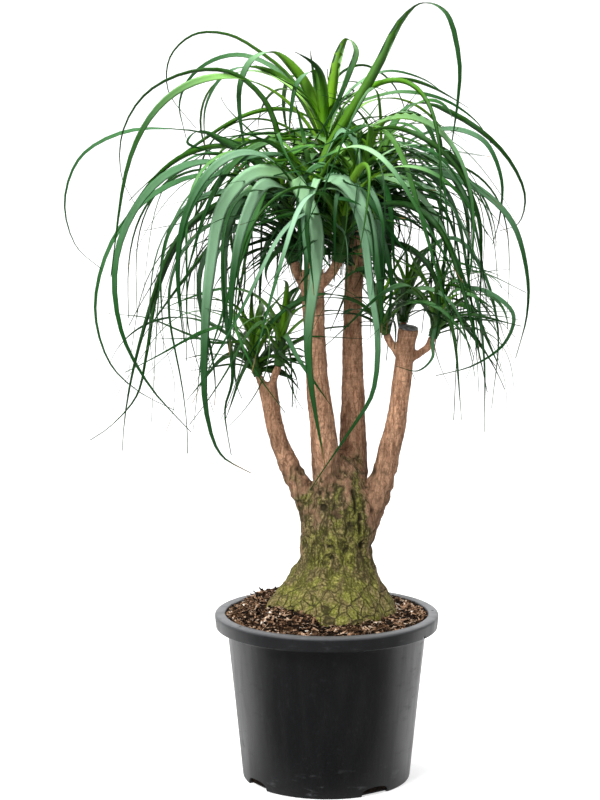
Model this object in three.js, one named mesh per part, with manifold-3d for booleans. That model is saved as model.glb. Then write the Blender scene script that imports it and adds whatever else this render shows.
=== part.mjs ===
// Potted ponytail palm: four bare stems on one swollen mossy base, a dozen leafy shoots, soil, a nursery pot.
// Millimetres, +Z up. The origin is the middle of the pot's underside; the front of the plant looks along -Y.
// Leaves are thin keeled blades fused to the shoot they grow from, one mesh for each shoot.

import * as THREE from "three";
import { mergeVertices } from "three/addons/utils/BufferGeometryUtils.js";
import Module from "manifold-3d";

const wasm = await Module();
wasm.setup();

// Driving dimensions
const GAP = 0.35; // clearance left between neighbouring pieces
const FINE = 1e-3; // points closer than this are one
const POT_HEIGHT = 224;
const RIM_RADIUS = 150; // outer edge of the turned-down rim
const RIM_INNER = 136; // where the rim meets the soil
const RIM_DROP = 19; // height of the turned-down band
const FOOT_RADIUS = 112.5; // outer edge of the underside
const SHOULDER_RADIUS = 133; // wall just under the rim
const SHOULDER_HEIGHT = 200;
const SHOULDER_RISE = 6; // height of the step from the wall out to the rim
const RIM_THICKNESS = 3;
const POT_WALL = 2.5;
const FLOOR_THICKNESS = 3.2;
const POT_SIDES = 40;
const NOTCH = { count: 4, first: -55, width: 42, height: 11.5, inner: 104, outer: 120 };
const RIM_HOLES = { angles: [-142, 3], radius: 2, depth: 4 }; // two hanging holes, in degrees round the rim
const SOIL_TOP = 221; // soil level at the rim
const MOUND = { low: 6, high: 17, heap: 188 }; // rise of the soil to the trunk, highest at this many degrees
const CHIPS = 26;
const BASE_SIDES = 28;
const STEM_SIDES = 10;
const STEM_STEP = 36; // spacing of the rings that carry the leaf scars
const TWIG_RADIUS = { thick: 7, thin: 5.2 };
const CORE_RADIUS = { thick: 10.5, thin: 6.8 };
const SEAL_THICKNESS = 1.6;
const LEAF_STEPS = 48; // fine steps along a leaf's midrib
const BLADE_KEEL = 0.1; // depth of a blade's keel as a share of its width
const THINNEST_KEEL = 0.9;
const TRACED_SECTIONS = 7; // cross sections of a leaf
const GROWN_SECTIONS = 4;
const THIN_SECTIONS = 3;
const GOLDEN_ANGLE = 137.508;
const HANG = { tall: 112, low: 70 }; // how much steeper an old leaf ends than a young one, in degrees

// Space that the grown leaves keep to: under a flattened dome on a drum, above a hem that is higher before
// and behind the stems, and out of the view of the sealed stem
const CROWN = { left: -292, right: 255, axis: -30, radius: 305, foot: 640, top: 1000 };
const HEM_AXIS = 22;
const TALL_HEM = { middle: 655, foot: 450, from: 70, over: 90 };
const LOW_HEM = { middle: 590, foot: 490, from: 40, over: 16 };
const SEAL_VIEW = { left: 88, right: 124, low: 556, high: 626 };

// Seeded draws, one run of numbers for each piece, between 0 and 1
function drawer(seed) {
  let state = seed >>> 0;
  return () => {
    state = (Math.imul(state, 1664525) + 1013904223) >>> 0;
    return state / 4294967296;
  };
}

const rad = THREE.MathUtils.degToRad;
const mix = THREE.MathUtils.lerp;
const v3 = (x, y, z) => new THREE.Vector3(x, y, z);
const smooth = (t) => THREE.MathUtils.smoothstep(t, 0, 1);

// Solids from geometry, and back
function solidOf(geometry) {
  const bare = new THREE.BufferGeometry();
  bare.setAttribute("position", geometry.getAttribute("position"));
  bare.setIndex(geometry.getIndex());
  const merged = mergeVertices(bare, FINE);
  const index = merged.getIndex().array;
  const triVerts = [];
  for (let i = 0; i < index.length; i += 3) {
    const [a, b, c] = index.slice(i, i + 3);
    if (a !== b && b !== c && a !== c) triVerts.push(a, b, c);
  }
  const vertProperties = merged.getAttribute("position").array;
  return new wasm.Manifold(
    new wasm.Mesh({ numProp: 3, vertProperties, triVerts: new Uint32Array(triVerts) }),
  );
}

// The largest body of a joined solid: hollows that joining sealed are filled and loose scraps dropped.
function largestBody(solid) {
  return solid.decompose().reduce((a, b) => (b.volume() > a.volume() ? b : a));
}

function meshOf(name, solid, material) {
  const data = solid.getMesh();
  const position = new Float32Array(data.numVert * 3);
  for (let i = 0; i < data.numVert; i++)
    position.set(data.vertProperties.subarray(i * data.numProp, i * data.numProp + 3), i * 3);
  const geometry = new THREE.BufferGeometry();
  geometry.setAttribute("position", new THREE.BufferAttribute(position, 3));
  geometry.setIndex(new THREE.BufferAttribute(data.triVerts, 1));
  geometry.computeVertexNormals();
  const mesh = new THREE.Mesh(geometry, material);
  mesh.name = name;
  return mesh;
}

// A closed skin over rings of points that turn right-handed about the way the rings run.
// It ends in a point where an apex is given; isFlipped tells which quads are split along their other diagonal.
function loft(rings, apex = null, isFlipped = () => false) {
  const sides = rings[0].length;
  const points = rings.flat();
  const faces = [];
  for (let i = 0; i + 1 < rings.length; i++)
    for (let j = 0; j < sides; j++) {
      const next = (j + 1) % sides;
      const [a, b] = [i * sides + j, i * sides + next];
      const [d, c] = [a + sides, b + sides];
      if (isFlipped(i, j)) faces.push(a, b, d, b, c, d);
      else faces.push(a, b, c, a, c, d);
    }
  for (let j = 1; j + 1 < sides; j++) faces.push(0, j + 1, j);
  const last = (rings.length - 1) * sides;
  if (apex) {
    points.push(apex);
    for (let j = 0; j < sides; j++) faces.push(last + j, last + ((j + 1) % sides), points.length - 1);
  } else for (let j = 1; j + 1 < sides; j++) faces.push(last, last + j, last + j + 1);
  const vertProperties = new Float32Array(points.flatMap((p) => [p.x, p.y, p.z]));
  return new wasm.Manifold(
    new wasm.Mesh({ numProp: 3, vertProperties, triVerts: new Uint32Array(faces) }),
  );
}

// A level ring round a centre, with the radius in each direction given by a function of the angle.
function levelRing(sides, cx, cy, z, radiusX, radiusY, swell = () => 1) {
  return Array.from({ length: sides }, (_, j) => {
    const angle = (2 * Math.PI * j) / sides;
    const r = swell(angle);
    return v3(cx + radiusX * r * Math.cos(angle), cy + radiusY * r * Math.sin(angle), z);
  });
}

// Rings square across a path, carried along it without spinning
function pathRings(path, tangents, radii, sides) {
  const rings = [];
  let side = v3(1, 0, 0);
  path.forEach((point, i) => {
    const along = tangents[i];
    side = side.clone().addScaledVector(along, -side.dot(along)).normalize();
    const other = along.clone().cross(side);
    rings.push(
      Array.from({ length: sides }, (_, j) => {
        const angle = (2 * Math.PI * j) / sides;
        return point
          .clone()
          .addScaledVector(side, radii[i] * Math.cos(angle))
          .addScaledVector(other, radii[i] * Math.sin(angle));
      }),
    );
  });
  return rings;
}

// Nursery pot: one moulded wall with a stepped shoulder and a turned-down rim
function makePot() {
  const shoulder = RIM_INNER + POT_WALL;
  const step = SHOULDER_HEIGHT + SHOULDER_RISE;
  const under = POT_HEIGHT - RIM_THICKNESS;
  const bottom = POT_HEIGHT - RIM_DROP;
  const profile = [
    [0, 0],
    [FOOT_RADIUS, 0],
    [SHOULDER_RADIUS, SHOULDER_HEIGHT],
    [shoulder, step],
    [shoulder, under],
    [RIM_RADIUS - 2.7, under],
    [RIM_RADIUS - 4, bottom],
    [RIM_RADIUS - 1.7, bottom],
    [RIM_RADIUS, under],
    [RIM_RADIUS - 2.5, POT_HEIGHT],
    [RIM_INNER, POT_HEIGHT],
    [RIM_INNER, step],
    [SHOULDER_RADIUS - POT_WALL, SHOULDER_HEIGHT],
    [FOOT_RADIUS - POT_WALL, FLOOR_THICKNESS],
    [0, FLOOR_THICKNESS],
  ].map(([r, z]) => new THREE.Vector2(r, z));
  const turned = new THREE.LatheGeometry(profile, POT_SIDES);
  turned.rotateX(Math.PI / 2);
  let pot = solidOf(turned);
  for (let i = 0; i < NOTCH.count; i++)
    pot = pot.subtract(drainNotch(NOTCH.first + (360 / NOTCH.count) * i));
  for (const angle of RIM_HOLES.angles) {
    const hole = new THREE.CylinderGeometry(RIM_HOLES.radius, RIM_HOLES.radius, 2 * RIM_HOLES.depth, 6);
    hole.rotateX(Math.PI / 2);
    const reach = (shoulder + RIM_RADIUS - RIM_THICKNESS) / 2;
    hole.translate(reach * Math.cos(rad(angle)), reach * Math.sin(rad(angle)), POT_HEIGHT);
    pot = pot.subtract(solidOf(hole));
  }
  return pot;
}

// An arched opening through the foot of the wall, so that water can run out
function drainNotch(angle) {
  const half = NOTCH.width / 2;
  const foot = half - 1;
  const flat = half * 0.55;
  const springing = NOTCH.height * 0.45;
  const arch = new THREE.Shape();
  arch.moveTo(-half, -2);
  arch.lineTo(half, -2);
  arch.lineTo(foot, springing);
  arch.quadraticCurveTo(foot - 2, NOTCH.height, flat, NOTCH.height);
  arch.lineTo(-flat, NOTCH.height);
  arch.quadraticCurveTo(2 - foot, NOTCH.height, -foot, springing);
  const depth = NOTCH.outer - NOTCH.inner;
  const block = new THREE.ExtrudeGeometry(arch, { depth, bevelEnabled: false, curveSegments: 3 });
  block.rotateX(Math.PI / 2);
  block.rotateZ(Math.PI);
  block.translate(0, NOTCH.inner, 0);
  block.rotateZ(rad(angle - 90));
  return solidOf(block);
}

// Height of the soil at a point: level at the rim, mounded against the trunk, heaped on the left, and rough
function ground(x, y) {
  const r = Math.hypot(x, y);
  const heaped = smooth((Math.cos(Math.atan2(y, x) - rad(MOUND.heap)) - 0.12) / 0.3);
  const mound = mix(MOUND.low, MOUND.high, heaped) * smooth((RIM_INNER - 6 - r) / 34);
  const lumps = 1.6 * Math.sin(x / 7.3 + 1.1) * Math.cos(y / 6.1) + 0.9 * Math.sin((x + y) / 3.9);
  return SOIL_TOP + mound + lumps * smooth((RIM_INNER - r) / 8);
}

// Potting soil of bark and coir: fills the pot, with chips and a few sticks on top
function makeSoil() {
  const edge = RIM_INNER - GAP;
  const foot = FOOT_RADIUS - POT_WALL - GAP;
  const shoulder = SHOULDER_RADIUS - POT_WALL - GAP;
  const rings = [
    levelRing(POT_SIDES, 0, 0, FLOOR_THICKNESS + GAP, foot, foot),
    levelRing(POT_SIDES, 0, 0, SHOULDER_HEIGHT, shoulder, shoulder),
    levelRing(POT_SIDES, 0, 0, SHOULDER_HEIGHT + SHOULDER_RISE + GAP, edge, edge),
  ];
  for (const share of [1, 0.87, 0.72, 0.5]) {
    const ring = levelRing(POT_SIDES, 0, 0, 0, edge * share, edge * share);
    ring.forEach((p) => (p.z = ground(p.x, p.y)));
    rings.push(ring);
  }
  let soil = loft(rings, v3(0, 0, ground(0, 0)));
  const draw = drawer(41);
  const chips = [];
  for (let i = 0; i < CHIPS; i++) {
    const angle = 2 * Math.PI * ((i * 0.618034) % 1);
    const reach = mix(88, 126, Math.sqrt(draw()));
    const size = [mix(8, 19, draw()), mix(4, 8, draw()), mix(2.5, 4.5, draw())];
    const chip = new THREE.BoxGeometry(...size);
    chip.rotateX(mix(-0.5, 0.5, draw()));
    chip.rotateY(mix(-0.35, 0.35, draw()));
    chip.rotateZ(angle + mix(1, 2.2, draw()));
    const [x, y] = [reach * Math.cos(angle), reach * Math.sin(angle)];
    chip.translate(x, y, ground(x, y) + 0.6);
    chips.push(solidOf(chip));
  }
  for (const [x, y, lean] of [[-92, 62, 0.3], [-80, 82, -0.5], [-104, 40, 0.6]]) {
    const stick = new THREE.CylinderGeometry(0.9, 1.6, 26, 5);
    stick.rotateX(Math.PI / 2 + lean);
    stick.rotateZ(lean * 2);
    stick.translate(x, y, ground(x, y) + 6);
    chips.push(solidOf(stick));
  }
  soil = soil.add(wasm.Manifold.union(chips));
  return largestBody(soil.subtract(makeFoot(GAP)));
}

// Swollen base of the trunk: height, centre and half width left to right, half depth front to back
const BASE_LEVELS = [
  [182, 0, 0, 52, 50],
  [192, 1, -3, 82, 84],
  [206, 1, -5, 91, 97],
  [222, 1.5, -5, 92, 98],
  [232, 3, -5, 88, 94],
  [243, 5.5, -4, 80, 84],
  [255, 8, -3, 70, 73],
  [268, 9.5, -2, 62.5, 63],
  [281, 11, -1, 54.5, 54],
  [296, 13, 0, 48, 47],
  [316, 13.5, 0, 47, 45],
  [338, 15.5, 0, 49, 44],
  [362, 17.5, 0, 52, 43],
  [384, 18, 0, 46, 40],
  [403, 18, 0, 34, 35],
  [422, 17, 0, 22, 25],
  [440, 16, 0, 9, 11],
];
const BASE_TOP = [16, 0, 446];
const BASE_FOOT = 190; // levels below this are the underside, which the soil stays clear of

// Root lobes low down and upright ribs between the fissures, as a factor on the radius
function baseSwell(z) {
  const low = smooth((290 - z) / 70);
  return (angle) =>
    1 +
    0.028 * low * Math.cos(5 * angle + 0.9) +
    0.018 * Math.cos(9 * angle - 0.6 + z / 55) +
    0.014 * Math.cos(14 * angle + z / 21);
}

function makeFoot(grow) {
  const rings = BASE_LEVELS.map(([z, cx, cy, halfWidth, halfDepth]) => {
    const level = z < BASE_FOOT ? z - grow : z;
    return levelRing(BASE_SIDES, cx, cy, level, halfWidth + grow, halfDepth + grow, baseSwell(z));
  });
  let foot = loft(rings, v3(...BASE_TOP));
  for (const { path, radii } of ROOTS) {
    const curve = curveOf(path.map((p) => v3(...p)));
    const places = radii.map((_, i) => i / (radii.length - 1));
    const points = places.map((t) => curve.getPoint(t));
    const tangents = places.map((t) => curve.getTangent(t));
    foot = foot.add(loft(pathRings(points, tangents, radii.map((r) => r + grow), 8)));
  }
  return foot;
}

// Surface roots that run from the base into the soil
const ROOTS = [
  { path: [[-48, -22, 258], [-64, -33, 242], [-78, -42, 224], [-84, -46, 200]], radii: [13, 13, 11, 9] },
  { path: [[46, -38, 254], [60, -54, 232], [68, -64, 204]], radii: [14, 13, 10] },
  { path: [[-20, 52, 252], [-26, 72, 230], [-30, 84, 202]], radii: [14, 13, 10] },
];

// Stems: centre and radius from inside the base to the top
const STEMS = [
  // left stem, cut short above the low shoots
  [[-6, 0, 330, 20], [-37, 0, 397, 15], [-52, 0, 426, 13], [-66, 0, 462, 11.7], [-74, 2, 500, 11.5],
    [-79, 3, 533, 12.6]],
  // centre-left stem, nearest the front
  [[6, -8, 340, 22], [1, -18, 397, 18.5], [-3, -24, 450, 18], [-7, -25, 487, 16.5], [-12, -25, 532, 15.4],
    [-16, -25, 590, 14.2], [-18, -25, 640, 14.5], [-20, -27, 684, 15.5]],
  // centre-right stem, behind
  [[30, 8, 340, 22], [34, 18, 400, 20], [35, 25, 452, 18.5], [35, 26, 500, 15.8], [34, 27, 560, 14],
    [34, 29, 638, 12.2], [40, 31, 718, 13.5]],
  // right stem, cut and sealed at the top
  [[35, -4, 292, 15], [44, -4, 336, 20], [69, -8, 393, 16], [83, -10, 446, 15], [90.5, -12, 478, 13.6],
    [97, -13, 526, 12.6], [102.5, -15, 576, 12.2], [106, -21, 607, 13.4]],
];
const SEALED_STEM = 3;

// Leafy shoots: the path runs out of the stem along the bare twig, and its last two points are the foot and
// the tip of the leafy part; count, length and width belong to the leaves that the growth rule places
const SHOOTS = {
  shoot_front: {
    path: [[-20, -27, 672], [-20, -30, 696], [-19, -45, 787]],
    count: 15, length: 480, width: 20,
  },
  shoot_left: {
    path: [[-24, -24, 650], [-36, -13, 674], [-43, -6, 692], [-62, 20, 794]],
    count: 19, length: 540, width: 11,
  },
  shoot_mid: {
    path: [[-10, -30, 662], [6, -42, 682], [14, -50, 698], [22, -64, 762]],
    count: 14, length: 400, width: 17,
  },
  shoot_centre: {
    path: [[40, 28, 700], [42, 9, 724], [43, -2, 740], [44, -22, 798]],
    count: 18, length: 440, width: 18,
  },
  shoot_top: {
    path: [[38, 32, 706], [24, 37, 740], [13, 40, 764], [-7, 42, 868]],
    count: 18, length: 500, width: 18,
  },
  shoot_right: {
    path: [[42, 32, 700], [53, 38, 730], [60, 43, 748], [77, 52, 832]],
    count: 22, length: 500, width: 9,
  },
  shoot_back: {
    path: [[40, 36, 700], [38, 56, 728], [37, 68, 746], [30, 98, 832]],
    count: 22, length: 500, width: 11,
  },
  shoot_low_left: {
    path: [[-77, 3, 516], [-86, 5, 531], [-91, 6, 541], [-100, 7, 590]],
    count: 16, length: 300, width: 12,
  },
  shoot_low_front: {
    path: [[-75, 0, 518], [-69, -6, 543], [-64, -9, 557], [-57, -12, 608]],
    count: 13, length: 280, width: 12,
  },
  shoot_low_right: {
    path: [[100, -15, 560], [120, -18, 573], [130, -20, 581], [138, -20, 595], [150, -20, 640]],
    count: 16, length: 310, width: 11,
  },
  shoot_low_mid: {
    path: [[98, -18, 566], [88, -22, 581], [81, -26, 592], [77, -28, 601], [66, -32, 640]],
    count: 12, length: 280, width: 11,
  },
  shoot_low_back: {
    path: [[104, -10, 580], [102, 6, 601], [101, 12, 612], [106, 20, 660]],
    count: 16, length: 310, width: 11,
  },
};
const isLow = (name) => name.includes("_low_");

// Leaves that give the plant its outline, traced by hand: shoot, width, roll at the root and twist at the
// apex in degrees, then the points that the midrib passes through after it leaves the shoot
const TRACED = [
  ["shoot_front", 17, -72, 140, [[1, -45, 835], [30, -42, 885], [62, -38, 940], [96, -35, 1004],
    [122, -35, 1024], [150, -36, 1012], [168, -40, 950], [166, -48, 900], [155, -60, 827]]],
  ["shoot_front", 21, -30, -50, [[-48, -64, 803], [-90, -82, 810], [-130, -92, 772], [-148, -97, 690],
    [-156, -98, 590], [-154, -96, 505], [-136, -90, 450], [-98, -82, 425]]],
  ["shoot_left", 13, 20, -90, [[-80, -20, 792], [-106, -50, 781], [-128, -66, 735], [-132, -70, 650],
    [-122, -68, 545], [-132, -66, 505], [-124, -64, 445]]],
  ["shoot_front", 20, -10, -62, [[-45, -72, 785], [-79, -100, 795], [-104, -111, 750], [-118, -116, 683],
    [-123, -120, 581]]],
  ["shoot_front", 22, 10, -15, [[-31, -70, 799], [-40, -84, 802], [-31, -96, 785], [-18, -104, 758],
    [-12, -110, 726], [-14, -113, 688], [-24, -113, 606], [-19, -112, 535], [-2, -108, 438]]],
  ["shoot_front", 15, 0, 15, [[-25, -72, 796], [-29, -88, 775], [-28, -94, 743], [-26, -96, 700],
    [-27, -96, 659], [-26, -94, 614]]],
  ["shoot_front", 13, 15, 45, [[-7, -76, 790], [19, -92, 790], [36, -100, 767], [47, -104, 728],
    [55, -106, 663], [64, -106, 607], [58, -103, 532], [35, -100, 491], [-3, -96, 434], [-22, -93, 404]]],
  ["shoot_front", 24, 10, 20, [[-4, -78, 800], [18, -98, 798], [38, -108, 777], [54, -112, 743],
    [62, -114, 698], [68, -112, 651], [69, -108, 602]]],
  ["shoot_front", 16, 10, 35, [[-2, -66, 801], [31, -78, 793], [55, -84, 766], [69, -88, 727],
    [81, -88, 681], [80, -86, 642], [75, -82, 605]]],
  ["shoot_mid", 10, 20, 20, [[12, -72, 758], [12, -80, 745], [21, -84, 736], [26, -86, 712],
    [25, -86, 674], [20, -84, 623]]],
  ["shoot_centre", 17, 0, 15, [[52, -50, 788], [64, -68, 745], [71, -74, 690], [69, -76, 636]]],
  ["shoot_front", 17, 10, 50, [[-4, -70, 803], [18, -86, 802], [49, -95, 779], [83, -93, 732],
    [103, -90, 705]]],
  ["shoot_front", 14, 20, 55, [[-4, -50, 822], [17, -52, 862], [30, -54, 858], [48, -61, 790], [68, -67, 742],
    [100, -74, 713]]],
  ["shoot_centre", 15, -60, 125, [[52, -6, 826], [67, 2, 866], [93, 6, 887], [121, 6, 880], [141, 4, 846],
    [148, 0, 797]]],
  ["shoot_right", 14, 50, -100, [[84, 42, 866], [116, 38, 899], [174, 36, 881], [233, 34, 834],
    [261, 32, 779], [253, 32, 742], [228, 32, 732]]],
  ["shoot_right", 11, 25, 40, [[110, 40, 850], [160, 26, 866], [205, 16, 850], [228, 10, 800], [226, 8, 750],
    [217, 6, 715]]],
  ["shoot_top", 10, 30, 40, [[26, 48, 893], [56, 54, 906], [99, 58, 915], [154, 60, 905], [198, 60, 876],
    [218, 60, 847]]],
  ["shoot_right", 12, 25, 45, [[106, 28, 814], [150, 0, 808], [201, -10, 785], [241, -14, 744],
    [261, -16, 676], [261, -16, 623], [247, -16, 567]]],
  ["shoot_top", 9, -50, 10, [[2, 54, 912], [20, 62, 941], [49, 67, 950], [84, 71, 929], [104, 73, 888],
    [100, 74, 858]]],
  ["shoot_top", 8, 50, 30, [[16, 32, 898], [48, 26, 930], [81, 24, 941], [126, 22, 930], [156, 20, 909]]],
  ["shoot_top", 17, 62, -125, [[-22, 34, 910], [-42, 29, 942], [-72, 25, 965], [-98, 22, 956],
    [-114, 20, 925], [-114, 18, 875], [-102, 16, 815]]],
  ["shoot_top", 16, -65, 125, [[4, 34, 905], [14, 28, 960], [26, 24, 982], [37, 21, 968], [28, 17, 938],
    [8, 12, 890], [-25, 4, 837]]],
  ["shoot_top", 16, 58, -112, [[-7, 30, 905], [-18, 22, 940], [-38, 14, 927], [-48, 8, 885], [-50, 4, 850]]],
  ["shoot_top", 15, 55, -100, [[-45, 45, 920], [-98, 47, 947], [-135, 48, 938], [-161, 50, 897],
    [-163, 50, 838]]],
  ["shoot_top", 8, 55, -10, [[-45, 57, 928], [-86, 65, 965], [-133, 71, 991], [-178, 74, 991],
    [-210, 76, 962], [-213, 76, 917], [-176, 76, 867]]],
  ["shoot_top", 12, -35, -35, [[-36, 66, 915], [-76, 80, 950], [-117, 90, 965], [-155, 96, 958],
    [-186, 98, 934], [-200, 99, 900], [-191, 99, 854]]],
  ["shoot_left", 10, 50, -12, [[-64, 6, 855], [-84, 0, 905], [-126, -4, 938], [-181, -6, 938],
    [-236, -8, 910], [-266, -10, 861], [-268, -12, 805], [-250, -14, 767]]],
  ["shoot_left", 11, 20, -75, [[-95, 24, 834], [-146, 27, 856], [-205, 29, 866], [-274, 30, 860],
    [-327, 30, 828], [-348, 30, 770], [-334, 30, 712], [-300, 30, 681]]],
  ["shoot_left", 17, 60, -120, [[-86, -6, 818], [-132, -14, 848], [-168, -18, 862], [-181, -21, 848],
    [-150, -24, 836]]],
  ["shoot_left", 14, 20, -85, [[-110, -8, 813], [-160, -22, 823], [-208, -32, 806], [-250, -38, 760],
    [-274, -42, 691], [-267, -44, 605], [-231, -42, 533], [-178, -38, 472]]],
  ["shoot_left", 12, 30, -90, [[-120, 38, 802], [-180, 48, 803], [-245, 56, 770], [-292, 60, 710],
    [-313, 62, 625], [-294, 62, 552], [-256, 60, 514], [-206, 58, 488]]],
  ["shoot_left", 10, 40, 20, [[-122, 62, 776], [-185, 86, 738], [-230, 98, 655], [-248, 102, 560],
    [-262, 102, 503], [-299, 100, 460], [-327, 98, 441]]],
  ["shoot_low_back", 9, 30, 30, [[132, 24, 706], [168, 30, 722], [203, 34, 686], [228, 36, 600],
    [221, 36, 495]]],
  ["shoot_low_right", 8, 30, 30, [[165, -14, 668], [190, -10, 655], [206, -8, 570], [208, -8, 468]]],
  ["shoot_low_right", 8, 30, 30, [[168, -34, 658], [205, -44, 657], [240, -50, 628], [230, -53, 592],
    [190, -52, 562], [141, -50, 548]]],
  ["shoot_low_right", 8, 40, -20, [[137, -36, 592], [137, -44, 571], [118, -48, 554], [89, -48, 560]]],
  ["shoot_low_left", 8, 40, 10, [[-114, 0, 586], [-150, -5, 586], [-189, -9, 600], [-235, -12, 619],
    [-287, -12, 625]]],
  ["shoot_low_left", 8, 40, 10, [[-106, -14, 578], [-116, -22, 545], [-131, -26, 505], [-146, -28, 474]]],
  ["shoot_low_front", 9, 30, 30, [[-52, -34, 596], [-38, -54, 572], [-12, -64, 535], [5, -68, 511]]],
];

const curveOf = (points) => new THREE.CatmullRomCurve3(points, false, "centripetal");

// Stem or twig along a path, a little thicker at each old leaf ring
function makeTube(curve, radiusAt, from, to, sides, step, waist) {
  const length = curve.getLength() * (to - from);
  const count = Math.max(3, Math.round(length / step));
  const places = Array.from({ length: count + 1 }, (_, i) => mix(from, to, i / count));
  const points = places.map((t) => curve.getPoint(t));
  const tangents = places.map((t) => curve.getTangent(t));
  const radii = places.map((t, i) => radiusAt(t) * (1 + (i % 2 ? waist : -waist)));
  return loft(pathRings(points, tangents, radii, sides));
}

const stemCurve = (stem) => curveOf(stem.map(([x, y, z]) => v3(x, y, z)));

function makeStem(stem) {
  const radiusAt = (t) => {
    const place = t * (stem.length - 1);
    const i = Math.min(Math.floor(place), stem.length - 2);
    return mix(stem[i][3], stem[i + 1][3], place - i);
  };
  return makeTube(stemCurve(stem), radiusAt, 0, 1, STEM_SIDES, STEM_STEP, 0.022);
}

// Share of a shoot's curve at which its leafy part starts
const leafyFrom = (shoot) => (shoot.path.length - 2) / (shoot.path.length - 1);
const shootCurve = (shoot) => curveOf(shoot.path.map((p) => v3(...p)));

function makeTwig(name, shoot) {
  const radius = isLow(name) ? TWIG_RADIUS.thin : TWIG_RADIUS.thick;
  return makeTube(shootCurve(shoot), () => radius, 0, leafyFrom(shoot), 5, 26, 0.03);
}

function makeTrunk() {
  const pieces = [makeFoot(0), ...STEMS.map(makeStem)];
  for (const [name, shoot] of Object.entries(SHOOTS)) pieces.push(makeTwig(name, shoot));
  return largestBody(wasm.Manifold.union(pieces));
}

// Grey wax that seals the cut top of the right stem
function makeSeal() {
  const [x, y, z, radius] = STEMS[SEALED_STEM].at(-1);
  const along = stemCurve(STEMS[SEALED_STEM]).getTangent(1);
  const profile = [
    [0, 0],
    [radius - 1, 0],
    [radius - 0.6, SEAL_THICKNESS / 2],
    [radius - 2.4, SEAL_THICKNESS],
    [0, SEAL_THICKNESS * 1.25],
  ].map(([r, h]) => new THREE.Vector2(r, h));
  const disc = new THREE.LatheGeometry(profile, 16);
  disc.applyQuaternion(new THREE.Quaternion().setFromUnitVectors(v3(0, 1, 0), along));
  const foot = v3(x, y, z).addScaledVector(along, GAP);
  disc.translate(foot.x, foot.y, foot.z);
  return solidOf(disc);
}

// Packed leaf bases round the tip of a twig
function makeCore(name, shoot) {
  const curve = shootCurve(shoot);
  const from = leafyFrom(shoot);
  const radius = isLow(name) ? CORE_RADIUS.thin : CORE_RADIUS.thick;
  const places = [0, 0.3, 0.8].map((t) => mix(from, 1, t));
  const points = places.map((t) => curve.getPoint(t));
  const tangents = places.map((t) => curve.getTangent(t));
  points[0].addScaledVector(tangents[0], GAP);
  return loft(pathRings(points, tangents, [0.9, 1.05, 0.7].map((s) => s * radius), 6), curve.getPoint(1));
}

// Fine points of a leaf that the growth rule bends: it leaves the shoot at the angle rise above level,
// turns over to the angle fall by the share span of its length, and swings sideways by the angle curl.
function grownPath(root, leaf) {
  const points = [root.clone()];
  const step = leaf.length / LEAF_STEPS;
  for (let i = 0; i < LEAF_STEPS; i++) {
    const u = (i + 0.5) / LEAF_STEPS;
    const bend = 0.5 - 0.5 * Math.cos(Math.PI * Math.min(1, u / leaf.span) ** 0.9);
    const slope = mix(leaf.rise, leaf.fall, bend);
    const heading = leaf.heading + leaf.curl * u * u;
    const way = v3(Math.cos(heading), Math.sin(heading), Math.tan(slope)).multiplyScalar(Math.cos(slope));
    points.push(points.at(-1).clone().addScaledVector(way, step));
  }
  return points;
}

// Share of the leaf's full width at a share of its length: widest low down, drawn out to a thread
const leafTaper = (u) => (0.72 + 0.28 * smooth(u / 0.12)) * (1 - u ** 1.4) ** 0.92;

// Steps of the midrib that carry a cross section: the more it bends or twists, the closer they stand
function pickStations(points, angles, count) {
  const turns = [0];
  for (let i = 1; i < LEAF_STEPS; i++) {
    const before = points[i].clone().sub(points[i - 1]);
    const bend = before.angleTo(points[i + 1].clone().sub(points[i]));
    turns.push(bend + 0.5 * Math.abs(angles[i + 1] - angles[i]));
  }
  const total = turns.reduce((a, b) => a + b, 0.6);
  const reached = [0];
  turns.forEach((turn) => reached.push(reached.at(-1) + 0.4 / LEAF_STEPS + (0.6 * turn) / total));
  const share = reached.at(-1) / count;
  return Array.from({ length: count }, (_, j) => reached.findIndex((r) => r >= j * share));
}

// How far the blade is turned about its midrib at each step: by the roll at its root, and then by the twist
// where the midrib is highest
function bladeAngles(points, roll, twist) {
  const apex = points.reduce((best, p, i) => (p.z > points[best].z ? i : best), 0);
  return points.map((_, i) => roll + twist * smooth((i - apex) / (0.3 * LEAF_STEPS) + 0.5));
}

// Whether the diagonal of the upper face from the left at one ring to the right at the next dips to the keel
function dips([right, keel, left], [nextRight, nextKeel, nextLeft]) {
  const first = left.clone().add(nextRight);
  const second = right.clone().add(nextLeft);
  const down = keel.clone().add(nextKeel).addScaledVector(first, -0.5).addScaledVector(second, -0.5);
  return first.sub(second).dot(down) > 0;
}

// Skin of a blade: where it twists, each upper quad is split along the diagonal that stays clear of the keel
const UPPER_FACE = 2;
const skinBlade = (rings, tip) =>
  loft(rings, tip, (i, j) => (j === UPPER_FACE) === dips(rings[i], rings[i + 1]));

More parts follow.
